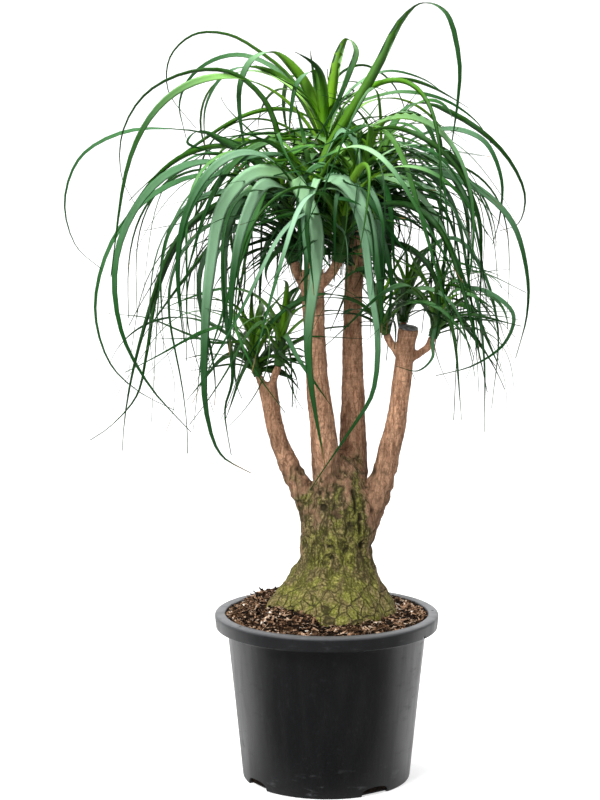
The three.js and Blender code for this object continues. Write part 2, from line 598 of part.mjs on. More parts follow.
// Three-sided blade along fine points: flat above, keeled below, ending in a point
function makeBlade(points, { width, roll, twist }, count) {
  const angles = bladeAngles(points, roll, twist);
  const stations = pickStations(points, angles, count);
  const along = (i) => points[i + 1].clone().sub(points[Math.max(i - 1, 0)]).normalize();
  const reach = points[LEAF_STEPS / 2].clone().sub(points[0]);
  let side = v3(reach.y, -reach.x, 0).normalize();
  const rings = [];
  for (let i = 0; i < LEAF_STEPS; i++) {
    const t = along(i);
    side = side.clone().addScaledVector(t, -side.dot(t)).normalize();
    if (!stations.includes(i)) continue;
    const across = side.clone().applyAxisAngle(t, angles[i]);
    const down = t.clone().cross(across);
    const half = (width * leafTaper(i / LEAF_STEPS)) / 2;
    const keel = Math.max(THINNEST_KEEL, 2 * half * BLADE_KEEL);
    const p = points[i];
    rings.push([
      p.clone().addScaledVector(across, half),
      p.clone().addScaledVector(down, keel),
      p.clone().addScaledVector(across, -half),
    ]);
  }
  const tip = points[LEAF_STEPS];
  return { whole: skinBlade(rings, tip), outer: skinBlade(rings.slice(1), tip) };
}

// Growing room: a blade that would touch another shoot, a stem, the soil or the pot is bent clear
const NEAR = 1;
const CLEAR_OF_OTHERS = 0.45;
const CLEAR_OF_OWN = 0.2;

class Room {
  constructor() {
    this.taken = [];
  }
  add(owner, whole, outer = null) {
    this.taken.push({ owner, whole, outer, box: whole.boundingBox() });
  }
  // Clear of every other shoot, and where alone is asked, past its root also of the leaves of its own shoot
  isClear(owner, blade, alone) {
    const box = blade.whole.boundingBox();
    return this.taken.every((other) => {
      const own = other.owner === owner;
      if (own && !(alone && other.outer)) return true;
      for (let k = 0; k < 3; k++)
        if (box.min[k] > other.box.max[k] + NEAR || box.max[k] < other.box.min[k] - NEAR) return true;
      if (own) return blade.outer.minGap(other.outer, NEAR) > CLEAR_OF_OWN;
      return blade.whole.minGap(other.whole, NEAR) > CLEAR_OF_OTHERS;
    });
  }
}

// Whether all of a grown leaf keeps to the space of the crown
function insideCrown(points, low) {
  const { middle, foot, from, over } = low ? LOW_HEM : TALL_HEM;
  return points.every((p) => {
    const rise = Math.max(p.z - CROWN.foot, 0) / (CROWN.top - CROWN.foot);
    const reach = Math.hypot((p.x - CROWN.axis) / CROWN.radius, p.y / CROWN.radius, rise);
    const lowest = mix(middle, foot, smooth((Math.abs(p.x - HEM_AXIS) - from) / over));
    const beside = p.x < SEAL_VIEW.left || p.x > SEAL_VIEW.right || p.y > 0;
    const clear = beside || p.z < SEAL_VIEW.low || p.z > SEAL_VIEW.high;
    return p.x > CROWN.left && p.x < CROWN.right && reach < 1 && p.z > lowest && clear;
  });
}

// A traced leaf, moved a little nearer to the front or the back until it is clear of its neighbours
function placeTraced(room, [name, width, roll, twist, through]) {
  const curve = shootCurve(SHOOTS[name]);
  const root = curve.getPoint(mix(leafyFrom(SHOOTS[name]), 1, 0.8));
  const leaf = { width, roll: rad(roll), twist: rad(twist) };
  for (const alone of [true, false])
    for (const shift of [0, -7, 7, -14, 14, -22, 22, -30, 30]) {
      const moved = through.map(([x, y, z], i) => v3(x, y + shift * smooth((i + 1) / 2), z));
      const points = curveOf([root, ...moved]).getSpacedPoints(LEAF_STEPS);
      const blade = makeBlade(points, leaf, TRACED_SECTIONS);
      if (room.isClear(name, blade, alone)) return blade;
    }
  return null;
}

// Leaf number k of a shoot: the golden angle turns each leaf from the last, old leaves low down hang and
// young ones at the tip stand up
function growLeaf(name, shoot, k, draw) {
  const age = 1 - k / (shoot.count - 1);
  const grown = mix(0.28, 1, smooth(age / 0.3)) * mix(1, 0.7, smooth((age - 0.7) / 0.3));
  const hang = isLow(name) ? HANG.low : HANG.tall;
  return {
    seat: 0.95 - 0.87 * age ** 0.9,
    heading: rad(GOLDEN_ANGLE * k + mix(-12, 12, draw())),
    rise: rad(84 - 54 * age ** 0.85 + mix(-12, 12, draw())),
    fall: rad(14 - hang * age ** 0.4 + mix(50, 0, smooth(age / 0.3)) + mix(-30, 20, draw())),
    span: mix(0.5, 1, draw()),
    curl: rad(mix(-90, 90, draw())),
    length: shoot.length * grown * mix(0.74, 1.08, draw()),
    width: shoot.width * mix(0.5, 1, draw()),
    roll: rad(mix(-35, 35, draw())),
    twist: rad(mix(-100, 100, draw())),
  };
}

// Bending clear: the heading first swings to either side, then the leaf is shortened
function placeGrown(room, name, shoot, k, draw) {
  const grown = growLeaf(name, shoot, k, draw);
  const sections = isLow(name) ? THIN_SECTIONS : GROWN_SECTIONS;
  const root = shootCurve(shoot).getPoint(mix(leafyFrom(shoot), 1, grown.seat));
  for (const alone of [true, false])
    for (const share of [1, 0.84, 0.68, 0.52, 0.4])
      for (const swing of [0, 8, -8, 16, -16, 25, -25]) {
        const leaf = { ...grown, length: grown.length * share, heading: grown.heading + rad(swing) };
        const points = grownPath(root, leaf);
        if (!insideCrown(points, isLow(name))) continue;
        const blade = makeBlade(points, leaf, sections);
        if (room.isClear(name, blade, alone)) return blade;
      }
  return null;
}

function makeShoots(trunk, soil, pot) {
  const room = new Room();
  for (const solid of [trunk, soil, pot]) room.add("", solid);
  const parts = {};
  for (const [name, shoot] of Object.entries(SHOOTS)) {
    parts[name] = [makeCore(name, shoot)];
    room.add(name, parts[name][0]);
  }
  const keep = (name, blade) => {
    if (!blade) return;
    parts[name].push(blade.whole);
    room.add(name, blade.whole, blade.outer);
  };
  for (const row of TRACED) keep(row[0], placeTraced(room, row));
  const draws = Object.fromEntries(Object.keys(SHOOTS).map((name, i) => [name, drawer(700 + 31 * i)]));
  const most = Math.max(...Object.values(SHOOTS).map((shoot) => shoot.count));
  for (let k = 0; k < most; k++)
    for (const [name, shoot] of Object.entries(SHOOTS))
      if (k < shoot.count) keep(name, placeGrown(room, name, shoot, k, draws[name]));
  return Object.entries(parts).map(([name, solids]) => [name, largestBody(wasm.Manifold.union(solids))]);
}

// Finishes
const matte = (color, roughness) => new THREE.MeshStandardMaterial({ color, roughness, metalness: 0 });
const potPlastic = matte(0x25282b, 0.45);
const pottingSoil = matte(0x4a3024, 0.95);
const bark = matte(0x8a6f4a, 0.85);
const sealWax = matte(0xa9a39c, 0.6);
const leafGreen = matte(0x4f8a45, 0.45);
const youngGreen = matte(0x78ac48, 0.45);

const pot = makePot();
const soil = makeSoil();
const trunk = makeTrunk();
const palm = new THREE.Group();
palm.add(meshOf("pot", pot, potPlastic));
palm.add(meshOf("soil", soil, pottingSoil));
palm.add(meshOf("trunk", trunk, bark));
palm.add(meshOf("cut_seal", makeSeal(), sealWax));
for (const [name, solid] of makeShoots(trunk, soil, pot))
  palm.add(meshOf(name, solid, isLow(name) ? youngGreen : leafGreen));

export default palm;
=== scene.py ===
"""Potted ponytail palm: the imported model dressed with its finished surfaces.

The script follows the plant as it is put together: the studio first, then the pot, the soil, the trunk with
its stems, the wax seal and the leafy shoots. Lengths are in metres unless a name ends in _MM or _mm."""
import math

import bpy
import numpy as np
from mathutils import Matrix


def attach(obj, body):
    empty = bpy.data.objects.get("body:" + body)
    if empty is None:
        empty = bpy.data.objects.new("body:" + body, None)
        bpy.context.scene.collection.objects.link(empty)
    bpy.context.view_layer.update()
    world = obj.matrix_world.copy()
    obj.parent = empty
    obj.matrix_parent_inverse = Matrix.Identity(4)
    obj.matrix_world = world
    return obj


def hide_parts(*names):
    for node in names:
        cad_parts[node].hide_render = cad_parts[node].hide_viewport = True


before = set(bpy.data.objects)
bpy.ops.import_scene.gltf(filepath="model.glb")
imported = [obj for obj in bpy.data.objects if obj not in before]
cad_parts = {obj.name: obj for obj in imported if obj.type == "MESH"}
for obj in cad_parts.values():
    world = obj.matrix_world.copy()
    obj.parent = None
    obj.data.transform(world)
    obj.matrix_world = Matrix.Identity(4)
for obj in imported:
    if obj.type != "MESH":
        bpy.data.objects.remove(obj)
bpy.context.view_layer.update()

# Studio: a pale floor that rises behind the plant, a white room, three large soft lights round the plant and
# two that light the floor behind it. The camera stands level with the crown and looks slightly down.
CAMERA_PLACE = (0.0, -2.591, 0.832)
CAMERA_TILT = math.radians(7.09)
CAMERA_TURN = math.radians(0.79)
CAMERA_LENS_MM = 88.7
ROOM_LOW, ROOM_HIGH = 0.05, 0.34
FLOOR_HALF = 6.0
FLOOR_FLAT = 3.0  # how far back the floor is level
FLOOR_BEND = 1.6  # radius of its bend
FLOOR_GLOW = 0.62
FLOOR_GREY, FLOOR_REFLECTION_DARK = (0.55, 0.55, 0.55), (0.1, 0.1, 0.1)


def add_node(tree, kind, **inputs):
    """Adds a shader node of a kind and sets its named input sockets; underscores stand for spaces."""
    node = tree.nodes.new(kind)
    for name, value in inputs.items():
        node.inputs[name.replace("_", " ")].default_value = value
    return node


def join_nodes(tree, *pairs):
    """Links output sockets to input sockets, given in pairs."""
    for output, socket in pairs:
        tree.links.new(output, socket)


def feed(tree, socket, value):
    """Gives an input socket a number, a colour or what another node puts out."""
    if isinstance(value, bpy.types.NodeSocket):
        tree.links.new(value, socket)
    else:
        socket.default_value = (*value, 1) if isinstance(value, tuple) else value


def maths(tree, operation, *values):
    """Sum, product or other arithmetic of numbers and sockets, two at a time from the first on."""
    result = values[0]
    for value in values[1:]:
        node = tree.nodes.new("ShaderNodeMath")
        node.operation = operation
        feed(tree, node.inputs[0], result)
        feed(tree, node.inputs[1], value)
        result = node.outputs["Value"]
    return result


def times(tree, *values):
    """Product of numbers and sockets."""
    return maths(tree, "MULTIPLY", *values)


def fade(tree, value, start, end, low=0.0, high=1.0):
    """Value taken from one range to another, held at the ends."""
    node = add_node(tree, "ShaderNodeMapRange", From_Min=start, From_Max=end, To_Min=low, To_Max=high)
    feed(tree, node.inputs["Value"], value)
    return node.outputs["Result"]


def blend_color(tree, mask, below, above):
    """Colour that goes from one to another by a mask; each is a colour or an output socket."""
    node = tree.nodes.new("ShaderNodeMix")
    node.data_type = "RGBA"
    for number, value in ((0, mask), (6, below), (7, above)):
        feed(tree, node.inputs[number], value)
    return node.outputs[2]


def coordinates(tree, vector):
    """The three numbers of a vector, as outputs X, Y and Z."""
    node = tree.nodes.new("ShaderNodeSeparateXYZ")
    tree.links.new(vector, node.inputs["Vector"])
    return node.outputs


def add_bump(tree, shader, height, strength, distance, under=None):
    """Bump from a height, set on the shader; under is the normal of a coarser bump."""
    bump = add_node(tree, "ShaderNodeBump", Strength=strength, Distance=distance)
    join_nodes(tree, (height, bump.inputs["Height"]), (bump.outputs["Normal"], shader.inputs["Normal"]))
    if under is not None:
        tree.links.new(under, bump.inputs["Normal"])
    return bump.outputs["Normal"]


def new_finish(name, roughness):
    """A material with one Principled shader, returned with its node tree and that shader."""
    material = bpy.data.materials.new(name)
    material.use_nodes = True
    shader = material.node_tree.nodes["Principled BSDF"]
    shader.inputs["Roughness"].default_value = roughness
    shader.inputs["Base Color"].default_value = (0.5, 0.5, 0.5, 1)
    return material, material.node_tree, shader


def new_piece(name, points, face_sets, material, smooth=True):
    """A mesh piece from points (n, 3) and arrays of faces, each with one row of corner numbers a face."""
    mesh = bpy.data.meshes.new(name)
    mesh.vertices.add(len(points))
    mesh.vertices.foreach_set("co", np.asarray(points, dtype=np.float32).ravel())
    corners = np.concatenate([faces.ravel() for faces in face_sets]).astype(np.int32)
    sizes = np.concatenate([np.full(len(faces), faces.shape[1]) for faces in face_sets])
    mesh.loops.add(len(corners))
    mesh.loops.foreach_set("vertex_index", corners)
    mesh.polygons.add(len(sizes))
    mesh.polygons.foreach_set("loop_start", np.concatenate([[0], np.cumsum(sizes)[:-1]]).astype(np.int32))
    mesh.polygons.foreach_set("use_smooth", np.full(len(sizes), smooth))
    mesh.update(calc_edges=True)
    mesh.materials.append(material)
    piece = bpy.data.objects.new(name, mesh)
    bpy.context.scene.collection.objects.link(piece)
    return piece


def grid_faces(rows, columns, wrap=True):
    """Quads of a grid of points numbered row by row; with wrap the last column meets the first."""
    i = np.arange(rows - 1)[:, None]
    j = np.arange(columns if wrap else columns - 1)[None, :]
    k = (j + 1) % columns
    quads = [i * columns + j, i * columns + k, (i + 1) * columns + k, (i + 1) * columns + j]
    return np.stack(np.broadcast_arrays(*quads), axis=-1).reshape(-1, 4)


def make_floor():
    """A flat floor that curves up behind: depth runs along a straight line and then a quarter circle.
    It glows white to the camera. For reflections it also glows white behind and beside the plant, a painted
    reflection, and before the plant it is painted dark."""
    angle = np.linspace(0, math.pi / 2, 24)[1:]
    flat = np.linspace(-FLOOR_HALF, FLOOR_FLAT, 12)
    depth = np.concatenate([flat, FLOOR_FLAT + FLOOR_BEND * np.sin(angle), [FLOOR_FLAT + FLOOR_BEND]])
    height = np.concatenate([np.zeros(12), FLOOR_BEND * (1 - np.cos(angle)), [FLOOR_HALF]])
    across = np.linspace(-FLOOR_HALF, FLOOR_HALF, 8)
    points = np.stack(np.broadcast_arrays(across[None, :], depth[:, None], height[:, None]), axis=-1)
    material, tree, shader = new_finish("pale_floor", 0.9)
    grain = add_node(tree, "ShaderNodeTexNoise", Scale=60.0, Detail=4.0)
    add_bump(tree, shader, grain.outputs["Fac"], 0.03, 0.001)
    path = tree.nodes.new("ShaderNodeLightPath").outputs
    forth = coordinates(tree, tree.nodes.new("ShaderNodeTexCoord").outputs["Object"])["Y"]
    # Painted reflection: glossy rays see the floor glowing behind and beside the plant and dark before it.
    reflection_glow = times(tree, path["Is Glossy Ray"], fade(tree, forth, -0.16, 0.0))
    reflection_dark = maths(tree, "SUBTRACT", path["Is Glossy Ray"], reflection_glow)
    seen = maths(tree, "MAXIMUM", path["Is Camera Ray"], reflection_glow)
    shader.inputs["Emission Color"].default_value = (1, 1, 1, 1)
    feed(tree, shader.inputs["Base Color"], blend_color(tree, reflection_dark, FLOOR_GREY, FLOOR_REFLECTION_DARK))
    feed(tree, shader.inputs["Emission Strength"], times(tree, seen, FLOOR_GLOW))
    floor = new_piece("floor", points.reshape(-1, 3), [grid_faces(len(depth), 8, wrap=False)], material)


def make_light(name, place, aim, size, power):
    """A square area light at a place, turned towards the point aim."""
    light = bpy.data.lights.new(name, "AREA")
    light.shape, light.size, light.energy = "SQUARE", size, power
    lamp = bpy.data.objects.new(name, light)
    lamp.location = place
    x, y, z = np.subtract(place, aim)
    lamp.rotation_euler = (math.atan2(math.hypot(x, y), z), 0, math.atan2(x, -y))
    bpy.context.scene.collection.objects.link(lamp)


def make_room():
    """A room that is brighter overhead than below, so that upper faces shine and lower ones fall into shade.
    Seen past the floor it is white, as the backdrop is."""
    room = bpy.data.worlds.new("room")
    room.use_nodes = True
    tree = room.node_tree
    height = coordinates(tree, tree.nodes.new("ShaderNodeTexCoord").outputs["Generated"])["Z"]
    level = fade(tree, height, -0.2, 0.7, ROOM_LOW, ROOM_HIGH)
    seen = tree.nodes.new("ShaderNodeLightPath").outputs["Is Camera Ray"]
    background = tree.nodes["Background"]
    feed(tree, background.inputs["Strength"], maths(tree, "MAXIMUM", level, seen))
    background.inputs["Color"].default_value = (1, 1, 1, 1)
    bpy.context.scene.world = room


make_floor()
make_room()
make_light("key_light", (-1.3, -1.9, 2.6), (0, 0, 0.65), 1.1, 140)
make_light("fill_light", (2.4, -1.8, 1.4), (0, 0, 0.5), 1.6, 12)
make_light("top_light", (0.1, 0.25, 2.7), (0, 0, 0.8), 1.2, 62)
make_light("wall_light_left", (-2.4, 2.2, 2.6), (0.6, 4.6, 0.8), 1.6, 60)
make_light("wall_light_right", (2.4, 2.2, 2.6), (-0.6, 4.6, 0.8), 1.6, 60)
bpy.context.scene.view_settings.view_transform = "Standard"
camera_data = bpy.data.cameras.new("camera")
camera_data.lens = CAMERA_LENS_MM
camera = bpy.data.objects.new("camera", camera_data)
camera.location = CAMERA_PLACE
camera.rotation_euler = (math.pi / 2 - CAMERA_TILT, 0, CAMERA_TURN)
bpy.context.scene.collection.objects.link(camera)
bpy.context.scene.camera = camera

# Nursery pot: one injection-moulded shell of black plastic with a turned-down rim.
# Four arched drain notches are cut through the foot, and two small hanging holes and a slot through the rim.
RIM_INNER = 0.136
POT_HEIGHT = 0.224
POT_AROUND = 144
POT_PROFILE_MM = [
    (60, 0), (104, 0), (110.8, 0), (112.2, 0.6), (112.8, 2.2), (113.6, 10), (118, 54), (123, 104), (128, 152),
    (132.8, 198), (133.6, 201.5), (135.6, 204.4), (138.2, 206.4), (138.5, 208), (138.5, 220.4), (147, 220.8),
    (147.3, 220.2), (146.1, 206), (146.5, 205.2), (147.8, 205), (148.5, 205.6), (149.9, 219), (149.9, 221),
    (149.2, 222.8), (147.6, 223.8), (146, 224), (138.4, 224), (136.8, 223.6), (136, 222.6), (136, 207),
    (134.4, 204), (130.6, 200), (121, 104), (110.2, 5), (109, 3.2), (60, 3.2)]
NOTCH_ANGLES = (-55, 35, 125, 215)
NOTCH_HALF = 0.021
NOTCH_HEIGHT = 0.0115
FOOT_CUT, BAND_CUT = (0.104, 0.12), (0.143, 0.152)  # radii between which the foot and the rim's band are cut
HANGING_ANGLES, HANGING_REACH = (-142, 3), 0.1425
ROUND_HOLE_ANGLE, ROUND_HOLE_RADIUS, ROUND_HOLE_HEIGHT = -169, 0.0016, 0.216
SLOT_ANGLE = -31
SLOT_OUTLINE = [(0.0035, 0.2035), (0.0035, 0.2085), (-0.0035, 0.2085), (-0.0035, 0.2035)]  # across and up


def new_group(name, *numbers):
    """An empty node group that takes a vector and the named numbers and puts out a mask."""
    group = bpy.data.node_groups.new(name, "ShaderNodeTree")
    group.interface.new_socket("Vector", in_out="INPUT", socket_type="NodeSocketVector")
    for number in numbers:
        group.interface.new_socket(number, in_out="INPUT", socket_type="NodeSocketFloat")
    group.interface.new_socket("Mask", in_out="OUTPUT", socket_type="NodeSocketFloat")
    return group, group.nodes.new("NodeGroupInput").outputs, group.nodes.new("NodeGroupOutput").inputs


def scaled_noise(group, inside, **settings):
    """A noise on a group's own vector, at the scale that the group is given."""
    noise = add_node(group, "ShaderNodeTexNoise", **settings)
    join_nodes(group, (inside["Vector"], noise.inputs["Vector"]), (inside["Scale"], noise.inputs["Scale"]))
    return noise.outputs["Fac"]


def spread_mask(name, low, high):
    """Node group: soft-edged patches of noise between two levels, as a mask from 0 to 1."""
    group, inside, outside = new_group(name, "Scale")
    noise = scaled_noise(group, inside, Detail=6.0, Roughness=0.62)
    group.links.new(fade(group, noise, low, high), outside["Mask"])
    return group


PATCHES = spread_mask("patches", 0.44, 0.62)
FLECKS = spread_mask("flecks", 0.58, 0.7)


def add_mask(tree, group, scale, vector=None, stretch=(1, 1, 1)):
    """Places a mask group in a material on Object coordinates, stretched along the axes; returns its mask."""
    if vector is None:
        vector = tree.nodes.new("ShaderNodeTexCoord").outputs["Object"]
    mapping = add_node(tree, "ShaderNodeMapping", Scale=stretch)
    mask = tree.nodes.new("ShaderNodeGroup")
    mask.node_tree = group
    mask.inputs["Scale"].default_value = scale
    join_nodes(tree, (vector, mapping.inputs["Vector"]), (mapping.outputs["Vector"], mask.inputs["Vector"]))
    return mask.outputs["Mask"]


def pot_plastic():
    """Black plastic: satin, greyed by dust on the rim and in low scuffs, with faint upright water streaks."""
    material, tree, shader = new_finish("pot_plastic", 0.42)
    place = tree.nodes.new("ShaderNodeTexCoord").outputs["Object"]
    height = coordinates(tree, place)["Z"]
    streaks = add_mask(tree, PATCHES, 42.0, place, (1, 1, 0.12))
    flecks = add_mask(tree, FLECKS, 150.0, place)
    scuffs = add_mask(tree, FLECKS, 38.0, place, (1, 1, 3))
    rim_dust = times(tree, fade(tree, height, POT_HEIGHT - 0.004, POT_HEIGHT), 0.5)
    foot_dust = times(tree, fade(tree, height, 0.05, 0.0), scuffs, 0.3)
    band_dust = times(tree, fade(tree, height, 0.203, 0.205), fade(tree, scuffs, 0, 1, 0.03, 0.16))
    light_dust = maths(tree, "ADD", times(tree, streaks, 0.008), times(tree, flecks, 0.03))
    dust = maths(tree, "ADD", rim_dust, foot_dust, band_dust, light_dust)
    color = blend_color(tree, dust, (0.0018, 0.002, 0.0028), (0.19, 0.195, 0.205))
    rough = fade(tree, maths(tree, "ADD", streaks, scuffs), 0.0, 1.4, 0.36, 0.52)
    grain = add_node(tree, "ShaderNodeTexNoise", Scale=900.0, Detail=3.0)
    join_nodes(tree, (color, shader.inputs["Base Color"]), (rough, shader.inputs["Roughness"]),
               (place, grain.inputs["Vector"]))
    waves = add_bump(tree, shader, streaks, 0.05, 0.002)
    add_bump(tree, shader, grain.outputs["Fac"], 0.12, 0.0003, waves)
    return material


def turned_shell(profile_mm, around):
    """Points of a profile of radius and height swept round the upright axis, row by row."""
    profile = np.array(profile_mm) / 1000
    angle = np.linspace(0, 2 * math.pi, around, endpoint=False)
    x = profile[:, :1] * np.cos(angle)
    y = profile[:, :1] * np.sin(angle)
    z = np.broadcast_to(profile[:, 1:], x.shape)
    return np.stack([x, y, z], axis=-1)


def radial_cutter(outline, inner, outer, angle_deg):
    """A prism of an outline (across, up) run from one radius to another in a direction round the pot."""
    angle = math.radians(angle_deg)
    outline = np.array(outline)
    out = np.array([math.cos(angle), math.sin(angle), 0])
    side = np.array([-math.sin(angle), math.cos(angle), 0])
    rings = [outline[:, :1] * side + outline[:, 1:] * (0, 0, 1) + out * reach for reach in (inner, outer)]
    count = len(outline)
    faces = [grid_faces(2, count), np.arange(count)[::-1][None, :], (np.arange(count) + count)[None, :]]
    return new_piece("cutter", np.concatenate(rings), faces, None)


def apply_modifiers(piece):
    """Puts the mesh that the piece's modifiers make in place of its own."""
    bpy.context.view_layer.update()
    finished = bpy.data.meshes.new_from_object(piece.evaluated_get(bpy.context.evaluated_depsgraph_get()))
    piece.modifiers.clear()
    piece.data = finished


def cut_away(piece, cutters):
    """Subtracts each cutter from the piece and removes the cutter."""
    for cutter in cutters:
        cut = piece.modifiers.new("cut", "BOOLEAN")
        cut.operation, cut.solver, cut.object = "DIFFERENCE", "EXACT", cutter
    apply_modifiers(piece)
    for cutter in cutters:
        bpy.data.objects.remove(cutter)


def make_pot():
    """The turned shell with its notches, hanging holes and slot cut away."""
    rows = turned_shell(POT_PROFILE_MM, POT_AROUND)
    points = rows.reshape(-1, 3)
    under, floor = np.arange(POT_AROUND)[::-1], np.arange(len(points) - POT_AROUND, len(points))
    faces = [grid_faces(len(rows), POT_AROUND), under[None, :], floor[None, :]]
    pot = new_piece("nursery_pot", points, faces, pot_plastic())
    turn = np.linspace(0, math.pi, 13)
    arch = np.stack([NOTCH_HALF * np.cos(turn), NOTCH_HEIGHT * np.sin(turn) ** 0.55], axis=-1)
    notch = np.concatenate([[(NOTCH_HALF, -0.002)], arch, [(-NOTCH_HALF, -0.002)]])
    cutters = [radial_cutter(notch, *FOOT_CUT, angle) for angle in NOTCH_ANGLES]
    circle = ROUND_HOLE_RADIUS * np.stack([np.cos(2 * turn[:-1]), np.sin(2 * turn[:-1])], axis=-1)
    cutters.append(radial_cutter(circle + (0, ROUND_HOLE_HEIGHT), *BAND_CUT, ROUND_HOLE_ANGLE))
    cutters.append(radial_cutter(SLOT_OUTLINE, *BAND_CUT, SLOT_ANGLE))
    for angle in np.radians(HANGING_ANGLES):
        hole = turned_shell([(2.0, 219), (2.0, 226)], 16).reshape(-1, 3)
        hole[:, :2] += HANGING_REACH * np.array([math.cos(angle), math.sin(angle)])
        ends = [np.arange(16)[::-1][None, :], np.arange(16, 32)[None, :]]
        cutters.append(new_piece("cutter", hole, [grid_faces(2, 16), *ends], None))
    cut_away(pot, cutters)
    pot.data.set_sharp_from_angle(angle=math.radians(32))
    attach(pot, "root")
    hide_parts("pot")


make_pot()

# Potting soil: bark and coir that fills the pot, mounded against the trunk and higher at the front left.
# Loose chips, crumbs, coir fibres and a few twigs lie on the bed, as they were poured.
SOIL_TOP = 0.221
SOIL_EDGE = RIM_INNER - 0.00035
MOUND_LOW, MOUND_HIGH, HEAP_ANGLE = 0.006, 0.017, math.radians(188)
TRUNK_REACH = 0.066  # the loose bits lie outside this radius
BED_AROUND, BED_RINGS = 220, 46
CHIP_COUNT = 4600
CRUMB_COUNT = 5200
FIBRE_COUNT = 620


def cloud_noise(points, size, seed):
    """Smooth noise from -1 to 1: random values on a lattice of the given size, blended across each cell."""
    place = np.asarray(points) / size
    cell = np.floor(place).astype(np.int64)
    part = place - cell
    part = part * part * (3 - 2 * part)
    total = 0.0
    for corner in np.ndindex(2, 2, 2):
        at = cell + np.array(corner)
        mixed = at[..., 0] * 374761393 + at[..., 1] * 668265263 + at[..., 2] * 2147483647 + seed * 974634777
        mixed = (mixed ^ (mixed >> 13)) * 1274126177 & 0x7FFFFFFF
        value = ((mixed ^ (mixed >> 16)) & 0xFFFF) / 32767.5 - 1
        weight = np.prod(np.where(corner, part, 1 - part), axis=-1)
        total = total + weight * value
    return total


def ease(value):
    """Zero below 0, one above 1 and a smooth step between."""
    value = np.clip(value, 0, 1)
    return value * value * (3 - 2 * value)


def ground_height(x, y):
    """Height of the soil: level at the rim, mounded against the trunk, heaped on the left, rough all over."""
    reach = np.hypot(x, y)
    heaped = ease((np.cos(np.arctan2(y, x) - HEAP_ANGLE) - 0.12) / 0.3)
    mound = (MOUND_LOW + (MOUND_HIGH - MOUND_LOW) * heaped) * ease((RIM_INNER - 0.006 - reach) / 0.034)
    lumps = 0.0016 * np.sin(x / 0.0073 + 1.1) * np.cos(y / 0.0061) + 0.0009 * np.sin((x + y) / 0.0039)
    return SOIL_TOP + mound + lumps * ease((RIM_INNER - reach) / 0.008)


def read_mark(tree, name):
    """Output socket of a number kept with the piece."""
    mark = tree.nodes.new("ShaderNodeAttribute")
    mark.attribute_name = name
    return mark.outputs["Fac"]


def soil_finish():
    """Bark and coir: each bit has its own tone, from nearly black through red brown to pale wood."""
    material, tree, shader = new_finish("potting_soil", 0.92)
    shader.inputs["Specular IOR Level"].default_value = 0.12
    ramp = tree.nodes.new("ShaderNodeValToRGB")
    stops = [(0.0, (0.004, 0.0025, 0.0015)), (0.3, (0.024, 0.013, 0.007)), (0.52, (0.12, 0.062, 0.03)),
             (0.74, (0.4, 0.235, 0.14)), (0.9, (0.64, 0.48, 0.34)), (1.0, (0.85, 0.79, 0.71))]
    for place, color in stops[1:-1]:
        ramp.color_ramp.elements.new(place)
    for element, (place, color) in zip(ramp.color_ramp.elements, stops):
        element.position, element.color = place, (*color, 1)
    mottling = fade(tree, add_mask(tree, PATCHES, 420.0), 0, 1, -0.12, 0.1)
    feed(tree, ramp.inputs["Fac"], maths(tree, "ADD", read_mark(tree, "tone"), mottling))
    feed(tree, shader.inputs["Base Color"], ramp.outputs["Color"])
    fine = add_node(tree, "ShaderNodeTexNoise", Scale=1400.0, Detail=5.0)
    add_bump(tree, shader, fine.outputs["Fac"], 0.5, 0.0008)
    return material


def set_values(piece, name, values):
    """Stores one number for each point of the piece, for its material to read."""
    layer = piece.data.attributes.new(name, "FLOAT", "POINT")
    layer.data.foreach_set("value", np.asarray(values, dtype=np.float32))


def soil_piece(name, points, faces, tones, smooth=False):
    """One part of the soil, with the tone of each of its points."""
    piece = new_piece(name, points, faces, SOIL, smooth)
    set_values(piece, "tone", tones)
    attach(piece, "root")
    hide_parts("soil")


def make_bed():
    """The filled body of soil: a shell like the pot's inside, closed by rings of the rough ground."""
    wall = turned_shell([(104, 3.8), (109, 4.0), (120.6, 104), (130.1, 200), (135.6, 206.6)], BED_AROUND)
    rings = [wall]
    for share in np.linspace(1, 0.42, BED_RINGS):
        ring = turned_shell([(SOIL_EDGE * share * 1000, 0)], BED_AROUND)
        rough = cloud_noise(ring, 0.006, 3) * 0.0014 + cloud_noise(ring, 0.0022, 4) * 0.0009
        ring[..., 2] = ground_height(ring[..., 0], ring[..., 1]) + rough * min(1, (1 - share) / 0.02)
        rings.append(ring)
    points = np.concatenate(rings).reshape(-1, 3)
    rows = len(points) // BED_AROUND
    under, ground = np.arange(BED_AROUND)[::-1], np.arange(len(points) - BED_AROUND, len(points))
    tones = 0.16 + 0.2 * cloud_noise(points, 0.004, 9)
    soil_piece("soil_bed", points, [grid_faces(rows, BED_AROUND), under[None, :], ground[None, :]], tones)


def scatter(count, rng):
    """Random places on the ground between trunk and rim, evenly by area."""
    angle = rng.uniform(0, 2 * math.pi, count)
    reach = np.sqrt(rng.uniform(TRUNK_REACH**2, (SOIL_EDGE - 0.003) ** 2, count))
    return reach * np.cos(angle), reach * np.sin(angle), reach


def turned(points, yaw, tilt, roll):
    """Turns sets of points (n, k, 3) by a roll about X, a tilt about Y and a yaw about Z, one each a set."""
    for axis, angle in ((0, roll), (1, tilt), (2, yaw)):
        a, b = [(1, 2), (2, 0), (0, 1)][axis]
        c, s = np.cos(angle)[:, None], np.sin(angle)[:, None]
        moved = points.copy()
        moved[..., a] = c * points[..., a] - s * points[..., b]
        moved[..., b] = s * points[..., a] + c * points[..., b]
        points = moved
    return points


